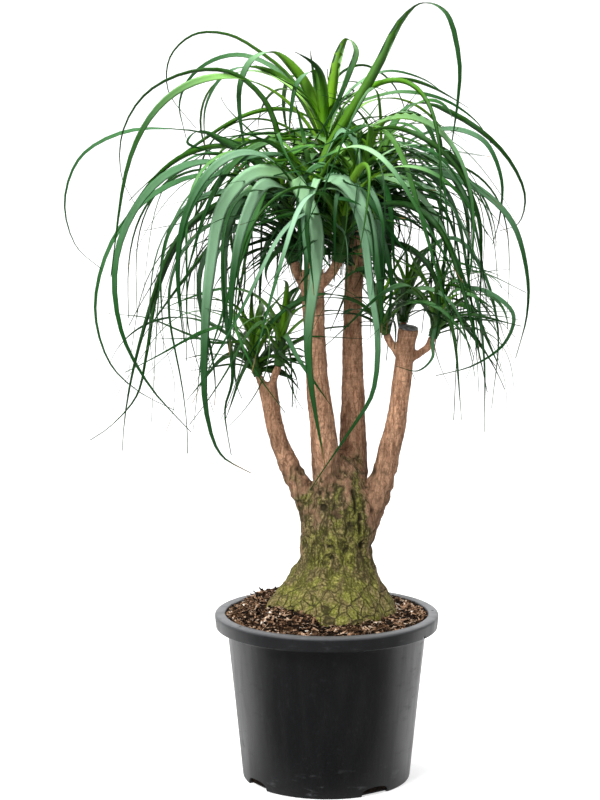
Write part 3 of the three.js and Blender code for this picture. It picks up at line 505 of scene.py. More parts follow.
def make_chips():
    """Bark chips: a box with each corner moved at random, lying nearly flat on the bed."""
    rng = np.random.default_rng(11)
    box = np.array([(x, y, z) for x in (-1, 1) for y in (-1, 1) for z in (-1, 1)]) / 2
    faces = np.array([(0, 1, 3, 2), (4, 6, 7, 5), (0, 4, 5, 1), (2, 3, 7, 6), (0, 2, 6, 4), (1, 5, 7, 3)])
    size = np.stack([rng.gamma(4.0, 0.0014, CHIP_COUNT) + 0.0018, rng.uniform(0.001, 0.0038, CHIP_COUNT),
                     rng.uniform(0.0006, 0.0022, CHIP_COUNT)], axis=-1)
    corners = (box * rng.uniform(0.55, 1.25, (CHIP_COUNT, 8, 3))) * size[:, None, :]
    lift = rng.uniform(-0.3, 1.0, CHIP_COUNT)
    yaw, tilt = rng.uniform(0, 2 * math.pi, CHIP_COUNT), rng.normal(0, 0.32, CHIP_COUNT)
    corners = turned(corners, yaw, tilt, rng.normal(0, 0.5, CHIP_COUNT))
    x, y, reach = scatter(CHIP_COUNT, rng)
    near_rim = np.clip((SOIL_EDGE - reach) / 0.012, 0.1, 1)
    corners += np.stack([x, y, ground_height(x, y) + 0.0022 * lift * near_rim], axis=-1)[:, None, :]
    keep = np.hypot(corners[..., 0], corners[..., 1]).max(axis=1) < SOIL_EDGE
    corners = corners[keep]
    numbers = np.arange(len(corners))[:, None, None] * 8 + faces
    tones = np.repeat(rng.beta(0.95, 1.3, CHIP_COUNT)[keep], 8)
    soil_piece("soil_chips", corners.reshape(-1, 3), [numbers.reshape(-1, 4)], tones)


def make_crumbs():
    """Fine crumbs: small uneven octahedra pressed into the bed."""
    rng = np.random.default_rng(12)
    tips = np.array([(1, 0, 0), (0, 1, 0), (-1, 0, 0), (0, -1, 0), (0, 0, 1), (0, 0, -1)])
    faces = np.array([(0, 1, 4), (1, 2, 4), (2, 3, 4), (3, 0, 4), (1, 0, 5), (2, 1, 5), (3, 2, 5), (0, 3, 5)])
    size = rng.uniform(0.0005, 0.0017, CRUMB_COUNT)[:, None, None]
    corners = tips * rng.uniform(0.5, 1.3, (CRUMB_COUNT, 6, 1)) * size
    corners = turned(corners, *(rng.uniform(0, 3, CRUMB_COUNT) for _ in range(3)))
    x, y, _ = scatter(CRUMB_COUNT, rng)
    corners += np.stack([x, y, ground_height(x, y) + 0.0006], axis=-1)[:, None, :]
    numbers = np.arange(CRUMB_COUNT)[:, None, None] * 6 + faces
    tones = np.repeat(rng.beta(1.6, 2.4, CRUMB_COUNT), 6)
    soil_piece("soil_crumbs", corners.reshape(-1, 3), [numbers.reshape(-1, 3)], tones)


def tube_rings(path, radius, sides):
    """Rings of a tube: at each point of the paths (..., m, 3) a circle square to the way it runs there.
    The circle's first direction is carried along by taking away its part along the path."""
    ahead = np.gradient(path, axis=-2)
    ahead /= np.linalg.norm(ahead, axis=-1, keepdims=True)
    side = np.zeros_like(path)
    current = np.broadcast_to(np.array([1.0, 0.13, 0.07]), path[..., 0, :].shape)
    for i in range(path.shape[-2]):
        along = ahead[..., i, :]
        current = current - (current * along).sum(-1, keepdims=True) * along
        current = current / np.linalg.norm(current, axis=-1, keepdims=True)
        side[..., i, :] = current
    other = np.cross(ahead, side)
    angle = np.linspace(0, 2 * math.pi, sides, endpoint=False)
    circle = np.cos(angle)[:, None] * side[..., None, :] + np.sin(angle)[:, None] * other[..., None, :]
    return path[..., None, :] + circle * np.asarray(radius)[..., None, None]


def many_tubes(rings):
    """Points and faces of tubes given as rings (n, m, sides, 3): walls of quads, a flat cap at each end."""
    count, m, sides = rings.shape[:3]
    first = np.arange(count)[:, None, None] * m * sides
    walls = (first + grid_faces(m, sides)).reshape(-1, 4)
    start = (first[:, 0] + np.arange(sides)[::-1]).reshape(-1, sides)
    end = (first[:, 0] + (m - 1) * sides + np.arange(sides)).reshape(-1, sides)
    return rings.reshape(-1, 3), [walls, start, end]


def make_fibres():
    """Coir fibres and thin twigs: bowed three-sided strands, most of them lying, a few standing up."""
    rng = np.random.default_rng(13)
    length = rng.uniform(0.006, 0.026, FIBRE_COUNT)
    yaw, rise = rng.uniform(0, 2 * math.pi, FIBRE_COUNT), np.abs(rng.normal(0, 0.22, FIBRE_COUNT))
    along = np.stack([np.cos(yaw) * np.cos(rise), np.sin(yaw) * np.cos(rise), np.sin(rise)], axis=-1)
    across = np.stack([-np.sin(yaw), np.cos(yaw), np.zeros(FIBRE_COUNT)], axis=-1)
    t = np.linspace(-0.5, 0.5, 6)[None, :, None]
    bow = rng.normal(0, 0.22, FIBRE_COUNT)[:, None, None] * (0.25 - t * t)
    x, y, _ = scatter(FIBRE_COUNT, rng)
    start = np.stack([x, y, ground_height(x, y) + 0.0016], axis=-1)[:, None, :]
    path = start + length[:, None, None] * (t * along[:, None, :] + bow * across[:, None, :])
    path = path[np.hypot(path[..., 0], path[..., 1]).max(axis=1) < SOIL_EDGE - 0.001]
    thick = rng.uniform(0.00016, 0.00042, len(path))[:, None] * np.ones(6)
    points, faces = many_tubes(tube_rings(path, thick, 3))
    tones = np.repeat(rng.uniform(0.5, 0.93, len(path)), 18)
    soil_piece("soil_fibres", points, faces, tones)


def make_twigs():
    """The few sticks that stand out at the back left and the pale root end at the front left."""
    ends_mm = [((-96, 60, 222), (-88, 66, 240), 1.5), ((-84, 80, 222), (-93, 84, 238), 1.2),
               ((-74, 92, 224), (-70, 86, 236), 1.0), ((-106, 40, 222), (-98, 47, 234), 1.4),
               ((-72, -66, 236), (-84, -84, 226), 4.2), ((-60, -88, 227), (-40, -96, 226), 1.6),
               ((92, -62, 226), (108, -52, 226), 1.4), ((40, 100, 226), (66, 96, 227), 1.8)]
    rng = np.random.default_rng(14)
    rings = []
    for start, end, radius in ends_mm:
        t = np.linspace(0, 1, 9)[:, None]
        path = (np.array(start) * (1 - t) + np.array(end) * t) / 1000
        path += rng.normal(0, 0.00035, path.shape)
        thick = radius / 1000 * (1.1 - 0.35 * t[:, 0]) * rng.uniform(0.8, 1.15, 9)
        rings.append(tube_rings(path, thick, 10))
    points, faces = many_tubes(np.array(rings))
    tones = np.repeat([0.5, 0.45, 0.6, 0.5, 0.93, 0.8, 0.78, 0.7], 90)
    soil_piece("soil_twigs", points, faces, tones, smooth=True)


SOIL = soil_finish()
make_bed()
make_chips()
make_crumbs()
make_fibres()
make_twigs()

# Trunk: one grown piece of wood under corky bark. The swollen base is mossy, with root lobes and cracked
# plates; four stems rise from it and carry short twigs, and rings of old leaf scars go up them.
BASE_LEVELS_MM = [  # height, centre across and back, half width, half depth
    (182, 0, 0, 52, 50), (192, 1, -3, 82, 84), (206, 1, -5, 91, 97), (222, 1.5, -5, 92, 98),
    (232, 3, -5, 88, 94), (243, 5.5, -4, 80, 84), (255, 8, -3, 70, 73), (268, 9.5, -2, 62.5, 63),
    (281, 11, -1, 54.5, 54), (296, 13, 0, 48, 47), (316, 13.5, 0, 47, 45), (338, 15.5, 0, 49, 44),
    (362, 17.5, 0, 52, 43), (384, 18, 0, 46, 40), (403, 18, 0, 34, 35), (422, 17, 0, 22, 25),
    (440, 16, 0, 9, 11), (446, 16, 0, 1, 1)]
SURFACE_ROOTS_MM = [
    [(-48, -22, 258, 13), (-64, -33, 242, 13), (-78, -42, 224, 11), (-84, -46, 200, 9)],
    [(46, -38, 254, 14), (60, -54, 232, 13), (68, -64, 204, 10)],
    [(-20, 52, 252, 14), (-26, 72, 230, 13), (-30, 84, 202, 10)]]
STEMS_MM = [  # place and radius; left, centre left, centre right and sealed right stem
    [(-6, 0, 330, 20), (-37, 0, 397, 15), (-52, 0, 426, 13), (-66, 0, 462, 11.7), (-74, 2, 500, 11.5),
     (-79, 3, 533, 12.6)],
    [(6, -8, 340, 22), (1, -18, 397, 18.5), (-3, -24, 450, 18), (-7, -25, 487, 16.5), (-12, -25, 532, 15.4),
     (-16, -25, 590, 14.2), (-18, -25, 640, 14.5), (-20, -27, 684, 15.5)],
    [(30, 8, 340, 22), (34, 18, 400, 20), (35, 25, 452, 18.5), (35, 26, 500, 15.8), (34, 27, 560, 14),
     (34, 29, 638, 12.2), (40, 31, 718, 13.5)],
    [(35, -4, 292, 15), (44, -4, 336, 20), (69, -8, 393, 16), (83, -10, 446, 15), (90.5, -12, 478, 13.6),
     (97, -13, 526, 12.6), (102.5, -15, 576, 12.2), (106, -21, 607, 13.4)]]
SHOOT_PATHS_MM = {
    "shoot_front": [(-20, -27, 672), (-20, -30, 696), (-19, -45, 787)],
    "shoot_left": [(-24, -24, 650), (-36, -13, 674), (-43, -6, 692), (-62, 20, 794)],
    "shoot_mid": [(-10, -30, 662), (6, -42, 682), (14, -50, 698), (22, -64, 762)],
    "shoot_centre": [(40, 28, 700), (42, 9, 724), (43, -2, 740), (44, -22, 798)],
    "shoot_top": [(38, 32, 706), (24, 37, 740), (13, 40, 764), (-7, 42, 868)],
    "shoot_right": [(42, 32, 700), (53, 38, 730), (60, 43, 748), (77, 52, 832)],
    "shoot_back": [(40, 36, 700), (38, 56, 728), (37, 68, 746), (30, 98, 832)],
    "shoot_low_left": [(-77, 3, 516), (-86, 5, 531), (-91, 6, 541), (-100, 7, 590)],
    "shoot_low_front": [(-75, 0, 518), (-69, -6, 543), (-64, -9, 557), (-57, -12, 608)],
    "shoot_low_right": [(100, -15, 560), (120, -18, 573), (130, -20, 581), (138, -20, 595), (150, -20, 640)],
    "shoot_low_mid": [(98, -18, 566), (88, -22, 581), (81, -26, 592), (77, -28, 601), (66, -32, 640)],
    "shoot_low_back": [(104, -10, 580), (102, 6, 601), (101, 12, 612), (106, 20, 660)]}
TWIG_RADIUS, LOW_TWIG_RADIUS = 0.007, 0.0052
BARK_VOXEL = 0.0019
HOLLOWS_MM = [  # place across, height, half width, half height, depth
    (37, 380, 3.2, 20, 4.5), (31, 352, 4, 6, 3), (3, 321, 4, 2.6, 3), (6, 307, 4, 3, 3), (-5, 373, 5, 4, 2.5),
    (-16, 352, 3, 9, 2.5), (18, 345, 6, 3, 2.2), (46, 322, 3.5, 8, 2.2)]
MOSS_TOP = 0.384


def is_low(name):
    """Whether a shoot is one of those on the two short stems."""
    return "_low_" in name


def through_points(points, count):
    """Smooth curve through points (k, d) of which the first three numbers are the place: a Catmull-Rom spline
    whose knots are spaced by the square root of the distance. Its count samples are even by knot number."""
    points = np.asarray(points, dtype=float)
    ends = np.vstack([2 * points[0] - points[1], points, 2 * points[-1] - points[-2]])
    gap = np.sqrt(np.maximum(np.linalg.norm(np.diff(ends[:, :3], axis=0), axis=1), 1e-9))
    t = np.linspace(0, len(points) - 1, count)
    i = np.minimum(t.astype(int), len(points) - 2)
    u = (t - i)[:, None]
    p0, p1, p2, p3 = (ends[i + k] for k in range(4))
    g0, g1, g2 = (gap[i + k][:, None] for k in range(3))
    leave = ((p1 - p0) / g0 - (p2 - p0) / (g0 + g1) + (p2 - p1) / g1) * g1
    enter = ((p2 - p1) / g1 - (p3 - p1) / (g1 + g2) + (p3 - p2) / g2) * g1
    return (p1 + leave * u + (-3 * p1 + 3 * p2 - 2 * leave - enter) * u**2
            + (2 * p1 - 2 * p2 + leave + enter) * u**3)


def leafy_from(path):
    """Share of a shoot's curve at which its leafy part starts."""
    return (len(path) - 2) / (len(path) - 1)


def base_swell(angle, z):
    """Factor on the base's radius: five root lobes low down and upright ribs all the way."""
    low = ease((0.290 - z) / 0.070)
    return (1 + 0.028 * low * np.cos(5 * angle + 0.9) + 0.018 * np.cos(9 * angle - 0.6 + z / 0.055)
            + 0.014 * np.cos(14 * angle + z / 0.021))


def base_rings():
    """Rings of the swollen base: level ellipses whose centre and radii follow the levels smoothly."""
    around = 96
    levels = np.array(BASE_LEVELS_MM) / 1000
    z = np.linspace(levels[0, 0], levels[-1, 0], 70)
    cx, cy, rx, ry = (np.interp(z, levels[:, 0], levels[:, k])[:, None] for k in range(1, 5))
    angle = np.linspace(0, 2 * math.pi, around, endpoint=False)[None, :]
    swell = base_swell(angle, z[:, None])
    height = np.broadcast_to(z[:, None], swell.shape)
    return np.stack([cx + rx * swell * np.cos(angle), cy + ry * swell * np.sin(angle), height], axis=-1)


def tube_from_mm(points_mm, sides=28, count=64):
    """Tube through points with their radii, all in millimetres."""
    line = through_points(np.array(points_mm) / 1000, count)
    return tube_rings(line[:, :3], line[:, 3], sides)


def remeshed(piece, voxel, smoothing):
    """Fuses the piece's bodies into one skin of small squares, smooths it and applies both."""
    skin = piece.modifiers.new("skin", "REMESH")
    skin.mode, skin.voxel_size, skin.use_smooth_shade = "VOXEL", voxel, True
    soften = piece.modifiers.new("soften", "SMOOTH")
    soften.factor, soften.iterations = 0.5, smoothing
    apply_modifiers(piece)


def read_points(mesh, field="co", owner="vertices"):
    """The mesh's points, or their normals, as an array."""
    values = np.empty(len(mesh.vertices) * 3, dtype=np.float32)
    getattr(mesh, owner).foreach_get(field, values)
    return values.reshape(-1, 3).astype(float)


def carve_bark(piece):
    """Moves each point along its normal: broad lumps on the base, upright ridges and knobs round the waist,
    shallow furrows and level rings on the stems. Each is a smooth noise stretched upright or flattened.
    A few hollows sink into the front. How far a point lies below the skin is kept for the finish, which
    paints shade into the deep places."""
    mesh = piece.data
    points = read_points(mesh)
    normals = read_points(mesh, "vector", "vertex_normals")
    z = points[:, 2]
    stem = ease((z - 0.40) / 0.07)
    waist = (1 - stem) * ease((z - 0.235) / 0.05)
    lumps = 0.0012 * cloud_noise(points, 0.021, 41) + 0.0010 * cloud_noise(points, 0.010, 42)
    ridges = 1 - 2.4 * np.abs(cloud_noise(points * (1, 1, 0.36), 0.0088, 43))
    knobs = cloud_noise(points * (1, 1, 0.75), 0.0056, 44)
    furrows = cloud_noise(points * (1, 1, 0.2), 0.0064, 45)
    rings = cloud_noise(points * (0.22, 0.22, 1), 0.0044, 46)
    fine = (waist * (0.0014 * ridges + 0.0015 * knobs)
            + (1 - stem - waist) * (0.0005 * ridges + 0.0006 * knobs)
            + stem * (0.0007 * furrows + 0.0004 * rings))
    front = ease(-normals[:, 1] / 0.3)
    for x, height, wide, tall, deep in np.array(HOLLOWS_MM) / 1000:
        fine -= deep * front * np.exp(-((points[:, 0] - x) / wide)**2 - ((z - height) / tall)**2)
    relief = lumps * (1 - 0.7 * stem) + fine
    mesh.vertices.foreach_set("co", (points + normals * relief[:, None]).astype(np.float32).ravel())
    mesh.update()
    set_values(piece, "hollow_shade", np.clip(0.5 - fine / 0.0045, 0, 1))
    set_values(piece, "moss", moss_cover(points, normals))


def moss_cover(points, normals):
    """Share of moss at each point: a half on a top line that has a peak between the two right stems and falls
    away to the right, more below it and less above it, less on the flanks, broken into patches by noise."""
    x, z = points[:, 0], points[:, 2]
    top = MOSS_TOP + 0.04 * np.exp(-((x - 0.037) / 0.014)**2) - 0.08 * ease((x - 0.046) / 0.025)
    patches = cloud_noise(points, 0.014, 47) + 0.7 * cloud_noise(points, 0.006, 48)
    sides = ease((np.abs(normals[:, 0]) - 0.6) / 0.4)
    return ease((top - z) / 0.075 + 0.5 + 0.5 * patches) * (1 - sides * (0.3 + 0.3 * patches))


def bark_wrinkles():
    """Node group: winding dark lines where a noise crosses its middle, as a mask that is 1 in the line."""
    group, inside, outside = new_group("bark_wrinkles", "Scale")
    apart = maths(group, "SUBTRACT", scaled_noise(group, inside, Detail=2.5), 0.5)
    apart = maths(group, "MAXIMUM", apart, times(group, apart, -1))
    group.links.new(fade(group, apart, 0.05, 0.01), outside["Mask"])
    return group


def bark_cracks():
    """Node group: thin cracks between upright plates, as a mask that is 1 in the crack."""
    group, inside, outside = new_group("bark_cracks")
    bend = add_node(group, "ShaderNodeTexNoise", Scale=70.0)
    shift, tall = group.nodes.new("ShaderNodeVectorMath"), group.nodes.new("ShaderNodeVectorMath")
    shift.operation, tall.operation = "MULTIPLY_ADD", "MULTIPLY"
    shift.inputs[1].default_value, tall.inputs[1].default_value = (0.008, 0.008, 0.008), (1.0, 1.0, 0.6)
    plates = add_node(group, "ShaderNodeTexVoronoi", Scale=62.0)
    plates.feature = "DISTANCE_TO_EDGE"
    join_nodes(group, (inside["Vector"], bend.inputs["Vector"]), (bend.outputs["Color"], shift.inputs[0]),
               (inside["Vector"], shift.inputs[2]), (shift.outputs["Vector"], tall.inputs[0]),
               (tall.outputs["Vector"], plates.inputs["Vector"]))
    group.links.new(fade(group, plates.outputs["Distance"], 0.07, 0.015), outside["Mask"])
    return group


def layered(tree, color, *layers):
    """A colour with others laid over it in turn, each given as its mask and its colour."""
    for mask, above in layers:
        color = blend_color(tree, mask, color, above)
    return color


def bark_finish():
    """Bark: warm tan skin with upright flakes and fine level scars on the stems, olive moss over brown cork
    on the base, wrinkled higher up and parted into plates by cracks low down. The creases of the wrinkles and
    cracks get painted shade, and the hollows get painted shade that is nearly black."""
    material, tree, shader = new_finish("palm_bark", 0.85)
    shader.inputs["Specular IOR Level"].default_value = 0.12
    place = tree.nodes.new("ShaderNodeTexCoord").outputs["Object"]
    z = coordinates(tree, place)["Z"]
    mark, hollow_shade = read_mark(tree, "moss"), read_mark(tree, "hollow_shade")
    stains = add_mask(tree, PATCHES, 26.0, place, (1.0, 1.0, 0.45))
    flakes = add_mask(tree, PATCHES, 210.0, place, (1.0, 1.0, 0.22))
    scars = add_mask(tree, PATCHES, 95.0, place, (0.3, 0.3, 4.2))
    pores = add_mask(tree, FLECKS, 430.0, place, (1.0, 1.0, 0.4))
    grit = add_mask(tree, PATCHES, 330.0, place)
    clumps = add_mask(tree, PATCHES, 60.0, place, (1.0, 1.0, 0.6))
    rings = times(tree, scars, fade(tree, z, 0.46, 0.62, 0.12, 0.35))
    skin = layered(
        tree, blend_color(tree, flakes, (0.72, 0.41, 0.25), (0.38, 0.19, 0.11)),
        (times(tree, grit, 0.3), (0.17, 0.085, 0.05)),
        (times(tree, stains, fade(tree, z, 0.68, 0.42, 0.12, 0.6)), (0.11, 0.057, 0.032)),
        (rings, (0.15, 0.074, 0.045)),
        (times(tree, pores, 0.75), (0.06, 0.031, 0.018)),
        (fade(tree, z, 0.5, 0.38, 0.0, 0.5), (0.2, 0.125, 0.08)))
    moss = layered(
        tree, blend_color(tree, grit, (0.13, 0.135, 0.022), (0.33, 0.32, 0.08)),
        (times(tree, pores, 0.5), (0.6, 0.54, 0.26)),
        (fade(tree, z, 0.27, 0.37, 0.0, 0.35), (0.06, 0.058, 0.02)))
    cork = blend_color(tree, grit, (0.12, 0.085, 0.04), (0.32, 0.24, 0.13))
    grown = times(tree, fade(tree, clumps, 0.0, 0.6, 0.3, 1.0), fade(tree, mark, 0.6, 1.0, 0.2))
    base = blend_color(tree, grown, cork, moss)

    wrinkles, upper = bark_wrinkles(), fade(tree, z, 0.25, 0.3)
    tall = times(tree, add_mask(tree, wrinkles, 62.0, place, (1.0, 1.0, 0.35)),
                 fade(tree, upper, 0, 1, 0.4, 0.95))
    short = times(tree, add_mask(tree, wrinkles, 98.0, place, (1.0, 1.0, 0.9)),
                  fade(tree, mark, 0.3, 0.8, 0.15), fade(tree, upper, 0, 1, 0.25, 0.8))
    grain = times(tree, add_mask(tree, wrinkles, 165.0, place, (1.0, 1.0, 0.45)),
                  fade(tree, z, 0.68, 0.5, 0.15, 0.45), fade(tree, mark, 0.7, 0.2))
    cracks = tree.nodes.new("ShaderNodeGroup")
    cracks.node_tree = bark_cracks()
    tree.links.new(place, cracks.inputs["Vector"])
    line = times(tree, cracks.outputs["Mask"], fade(tree, z, 0.33, 0.25))
    bare = times(tree, fade(tree, z, 0.56, 0.42, 0.35, 1.0), fade(tree, mark, 0.1, 0.6, 0.6))
    crease_shade = maths(tree, "MAXIMUM", times(tree, maths(tree, "MAXIMUM", tall, short, line), bare), grain)
    # Painted shade: the creases of the wrinkles and cracks are darkened, and the hollows made nearly black.
    feed(tree, shader.inputs["Base Color"], layered(
        tree, skin,
        (fade(tree, mark, 0.12, 0.75), base),
        (times(tree, crease_shade, 0.88), (0.03, 0.024, 0.01)),
        (times(tree, fade(tree, hollow_shade, 0.55, 0.95), 0.85), (0.02, 0.017, 0.008))))
    fine = add_node(tree, "ShaderNodeTexNoise", Scale=300.0, Detail=6.0, Roughness=0.7)
    tree.links.new(place, fine.inputs["Vector"])
    under = None
    for height, strength, distance in ((crease_shade, 0.9, -0.0014), (rings, 0.7, -0.0008), (flakes, 0.5, -0.0007),
                                       (fine.outputs["Fac"], 0.75, 0.0018)):
        under = add_bump(tree, shader, height, strength, distance, under)
    return material


def make_trunk():
    """Base, surface roots, stems and twigs as closed tubes, fused into one skin and carved."""
    solids = [base_rings()]
    solids += [tube_from_mm(path, 24, 24) for path in SURFACE_ROOTS_MM]
    solids += [tube_from_mm(stem) for stem in STEMS_MM]
    for name, path in SHOOT_PATHS_MM.items():
        line = through_points(np.array(path) / 1000, 40 * (len(path) - 1) + 1)
        wood = line[: round(leafy_from(path) * (len(line) - 1)) + 1]
        radius = LOW_TWIG_RADIUS if is_low(name) else TWIG_RADIUS
        solids.append(tube_rings(wood, np.full(len(wood), radius), 18))
    points, faces, count = [], [], 0
    for rings in solids:
        body, sets = many_tubes(rings[None])
        points.append(body)
        faces += [numbers + count for numbers in sets]
        count += len(body)
    trunk = new_piece("trunk_bark", np.concatenate(points), faces, bark_finish())
    remeshed(trunk, BARK_VOXEL, 6)
    carve_bark(trunk)
    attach(trunk, "root")
    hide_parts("trunk")


make_trunk()

# Wax seal: the grower closed the sawn top of the right stem with grey grafting wax.
# It is a thin domed disc, uneven where it was brushed on.
SEALED_STEM = 3
SEAL_RADIUS = 0.0131
SEAL_AROUND = 40
SEAL_PROFILE = [  # share of the radius and rise, from the underside to the crown
    (0.4, 0.0), (0.97, 0.0), (1.0, 0.0006), (0.98, 0.0012), (0.9, 0.0016), (0.75, 0.0019), (0.5, 0.0021),
    (0.22, 0.0022)]


def make_seal():
    """A shallow dome over a round edge, square to the stem's last stretch, its height disturbed by noise."""
    before, top = (np.array(STEMS_MM[SEALED_STEM][k][:3]) / 1000 for k in (-2, -1))
    along = (top - before) / np.linalg.norm(top - before)
    side = np.cross(along, (0.0, 1.0, 0.0))
    side /= np.linalg.norm(side)
    other = np.cross(along, side)
    angle = np.linspace(0, 2 * math.pi, SEAL_AROUND, endpoint=False)[None, :, None]
    reach, rise = np.array(SEAL_PROFILE).T[..., None]
    flat = SEAL_RADIUS * reach[..., None] * (np.cos(angle) * side + np.sin(angle) * other)
    rough = cloud_noise(flat + top, 0.004, 51) * 0.0003 * (rise > 0)
    points = top + flat + (0.0004 + rise + rough)[..., None] * along
    material, tree, shader = new_finish("seal_wax", 0.55)
    smear = add_mask(tree, PATCHES, 160.0)
    color = blend_color(tree, smear, (0.07, 0.068, 0.066), (0.32, 0.315, 0.31))
    feed(tree, shader.inputs["Base Color"], color)
    add_bump(tree, shader, smear, 0.3, 0.0006)
    points, faces = many_tubes(points[None])
    seal = new_piece("wax_seal", points, faces, material)
    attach(seal, "root")
    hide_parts("cut_seal")


make_seal()

# Leafy shoots: each twig ends in a core of packed leaf bases with ribbon leaves all round it.
# Old leaves low down hang, young ones at the tip stand up; every leaf is a thin channelled blade.
LEAF_STEPS = 96
SECTION_ROWS = 27
FRAME_SEED, SEED_STEP, SCENE_SEED = 700, 31, 300
GOLDEN_ANGLE = 137.508
TALL_HANG, LOW_HANG = 112, 70  # how much steeper an old leaf ends than a young one, in degrees
TALL_BRUSH, LOW_BRUSH = (26, 0.4, 0.6, 60), (16, 0.6, 0.85, 42)  # number, length, width, drop in degrees
CORE_RADIUS, LOW_CORE_RADIUS = 0.0105, 0.0068
SHOOT_GROWTH = {  # leaves of the frame's rule, leaves added between them, length and width of a leaf
    "shoot_front": (15, 24, 0.480, 0.020), "shoot_left": (19, 16, 0.540, 0.011),
    "shoot_mid": (14, 22, 0.400, 0.017), "shoot_centre": (18, 24, 0.440, 0.018),
    "shoot_top": (18, 24, 0.500, 0.018), "shoot_right": (22, 8, 0.500, 0.009),
    "shoot_back": (22, 8, 0.500, 0.011), "shoot_low_left": (16, 7, 0.300, 0.012),
    "shoot_low_front": (13, 6, 0.280, 0.012), "shoot_low_right": (16, 4, 0.310, 0.011),
    "shoot_low_mid": (12, 4, 0.280, 0.011), "shoot_low_back": (16, 4, 0.310, 0.011)}
LEANING = {"shoot_mid": (7, -8)}  # a leaf that leans aside by some degrees and so keeps its full length
CROWN_MM = {"left": -292, "right": 255, "dome_axis": -30, "dome_radius": 305, "dome_foot": 640, "top": 1000,
            "axis": 22, "hem": (655, 450, 70, 90), "low_hem": (590, 490, 40, 16),
            "seal_left": 88, "seal_right": 124, "seal_low": 556, "seal_high": 626}
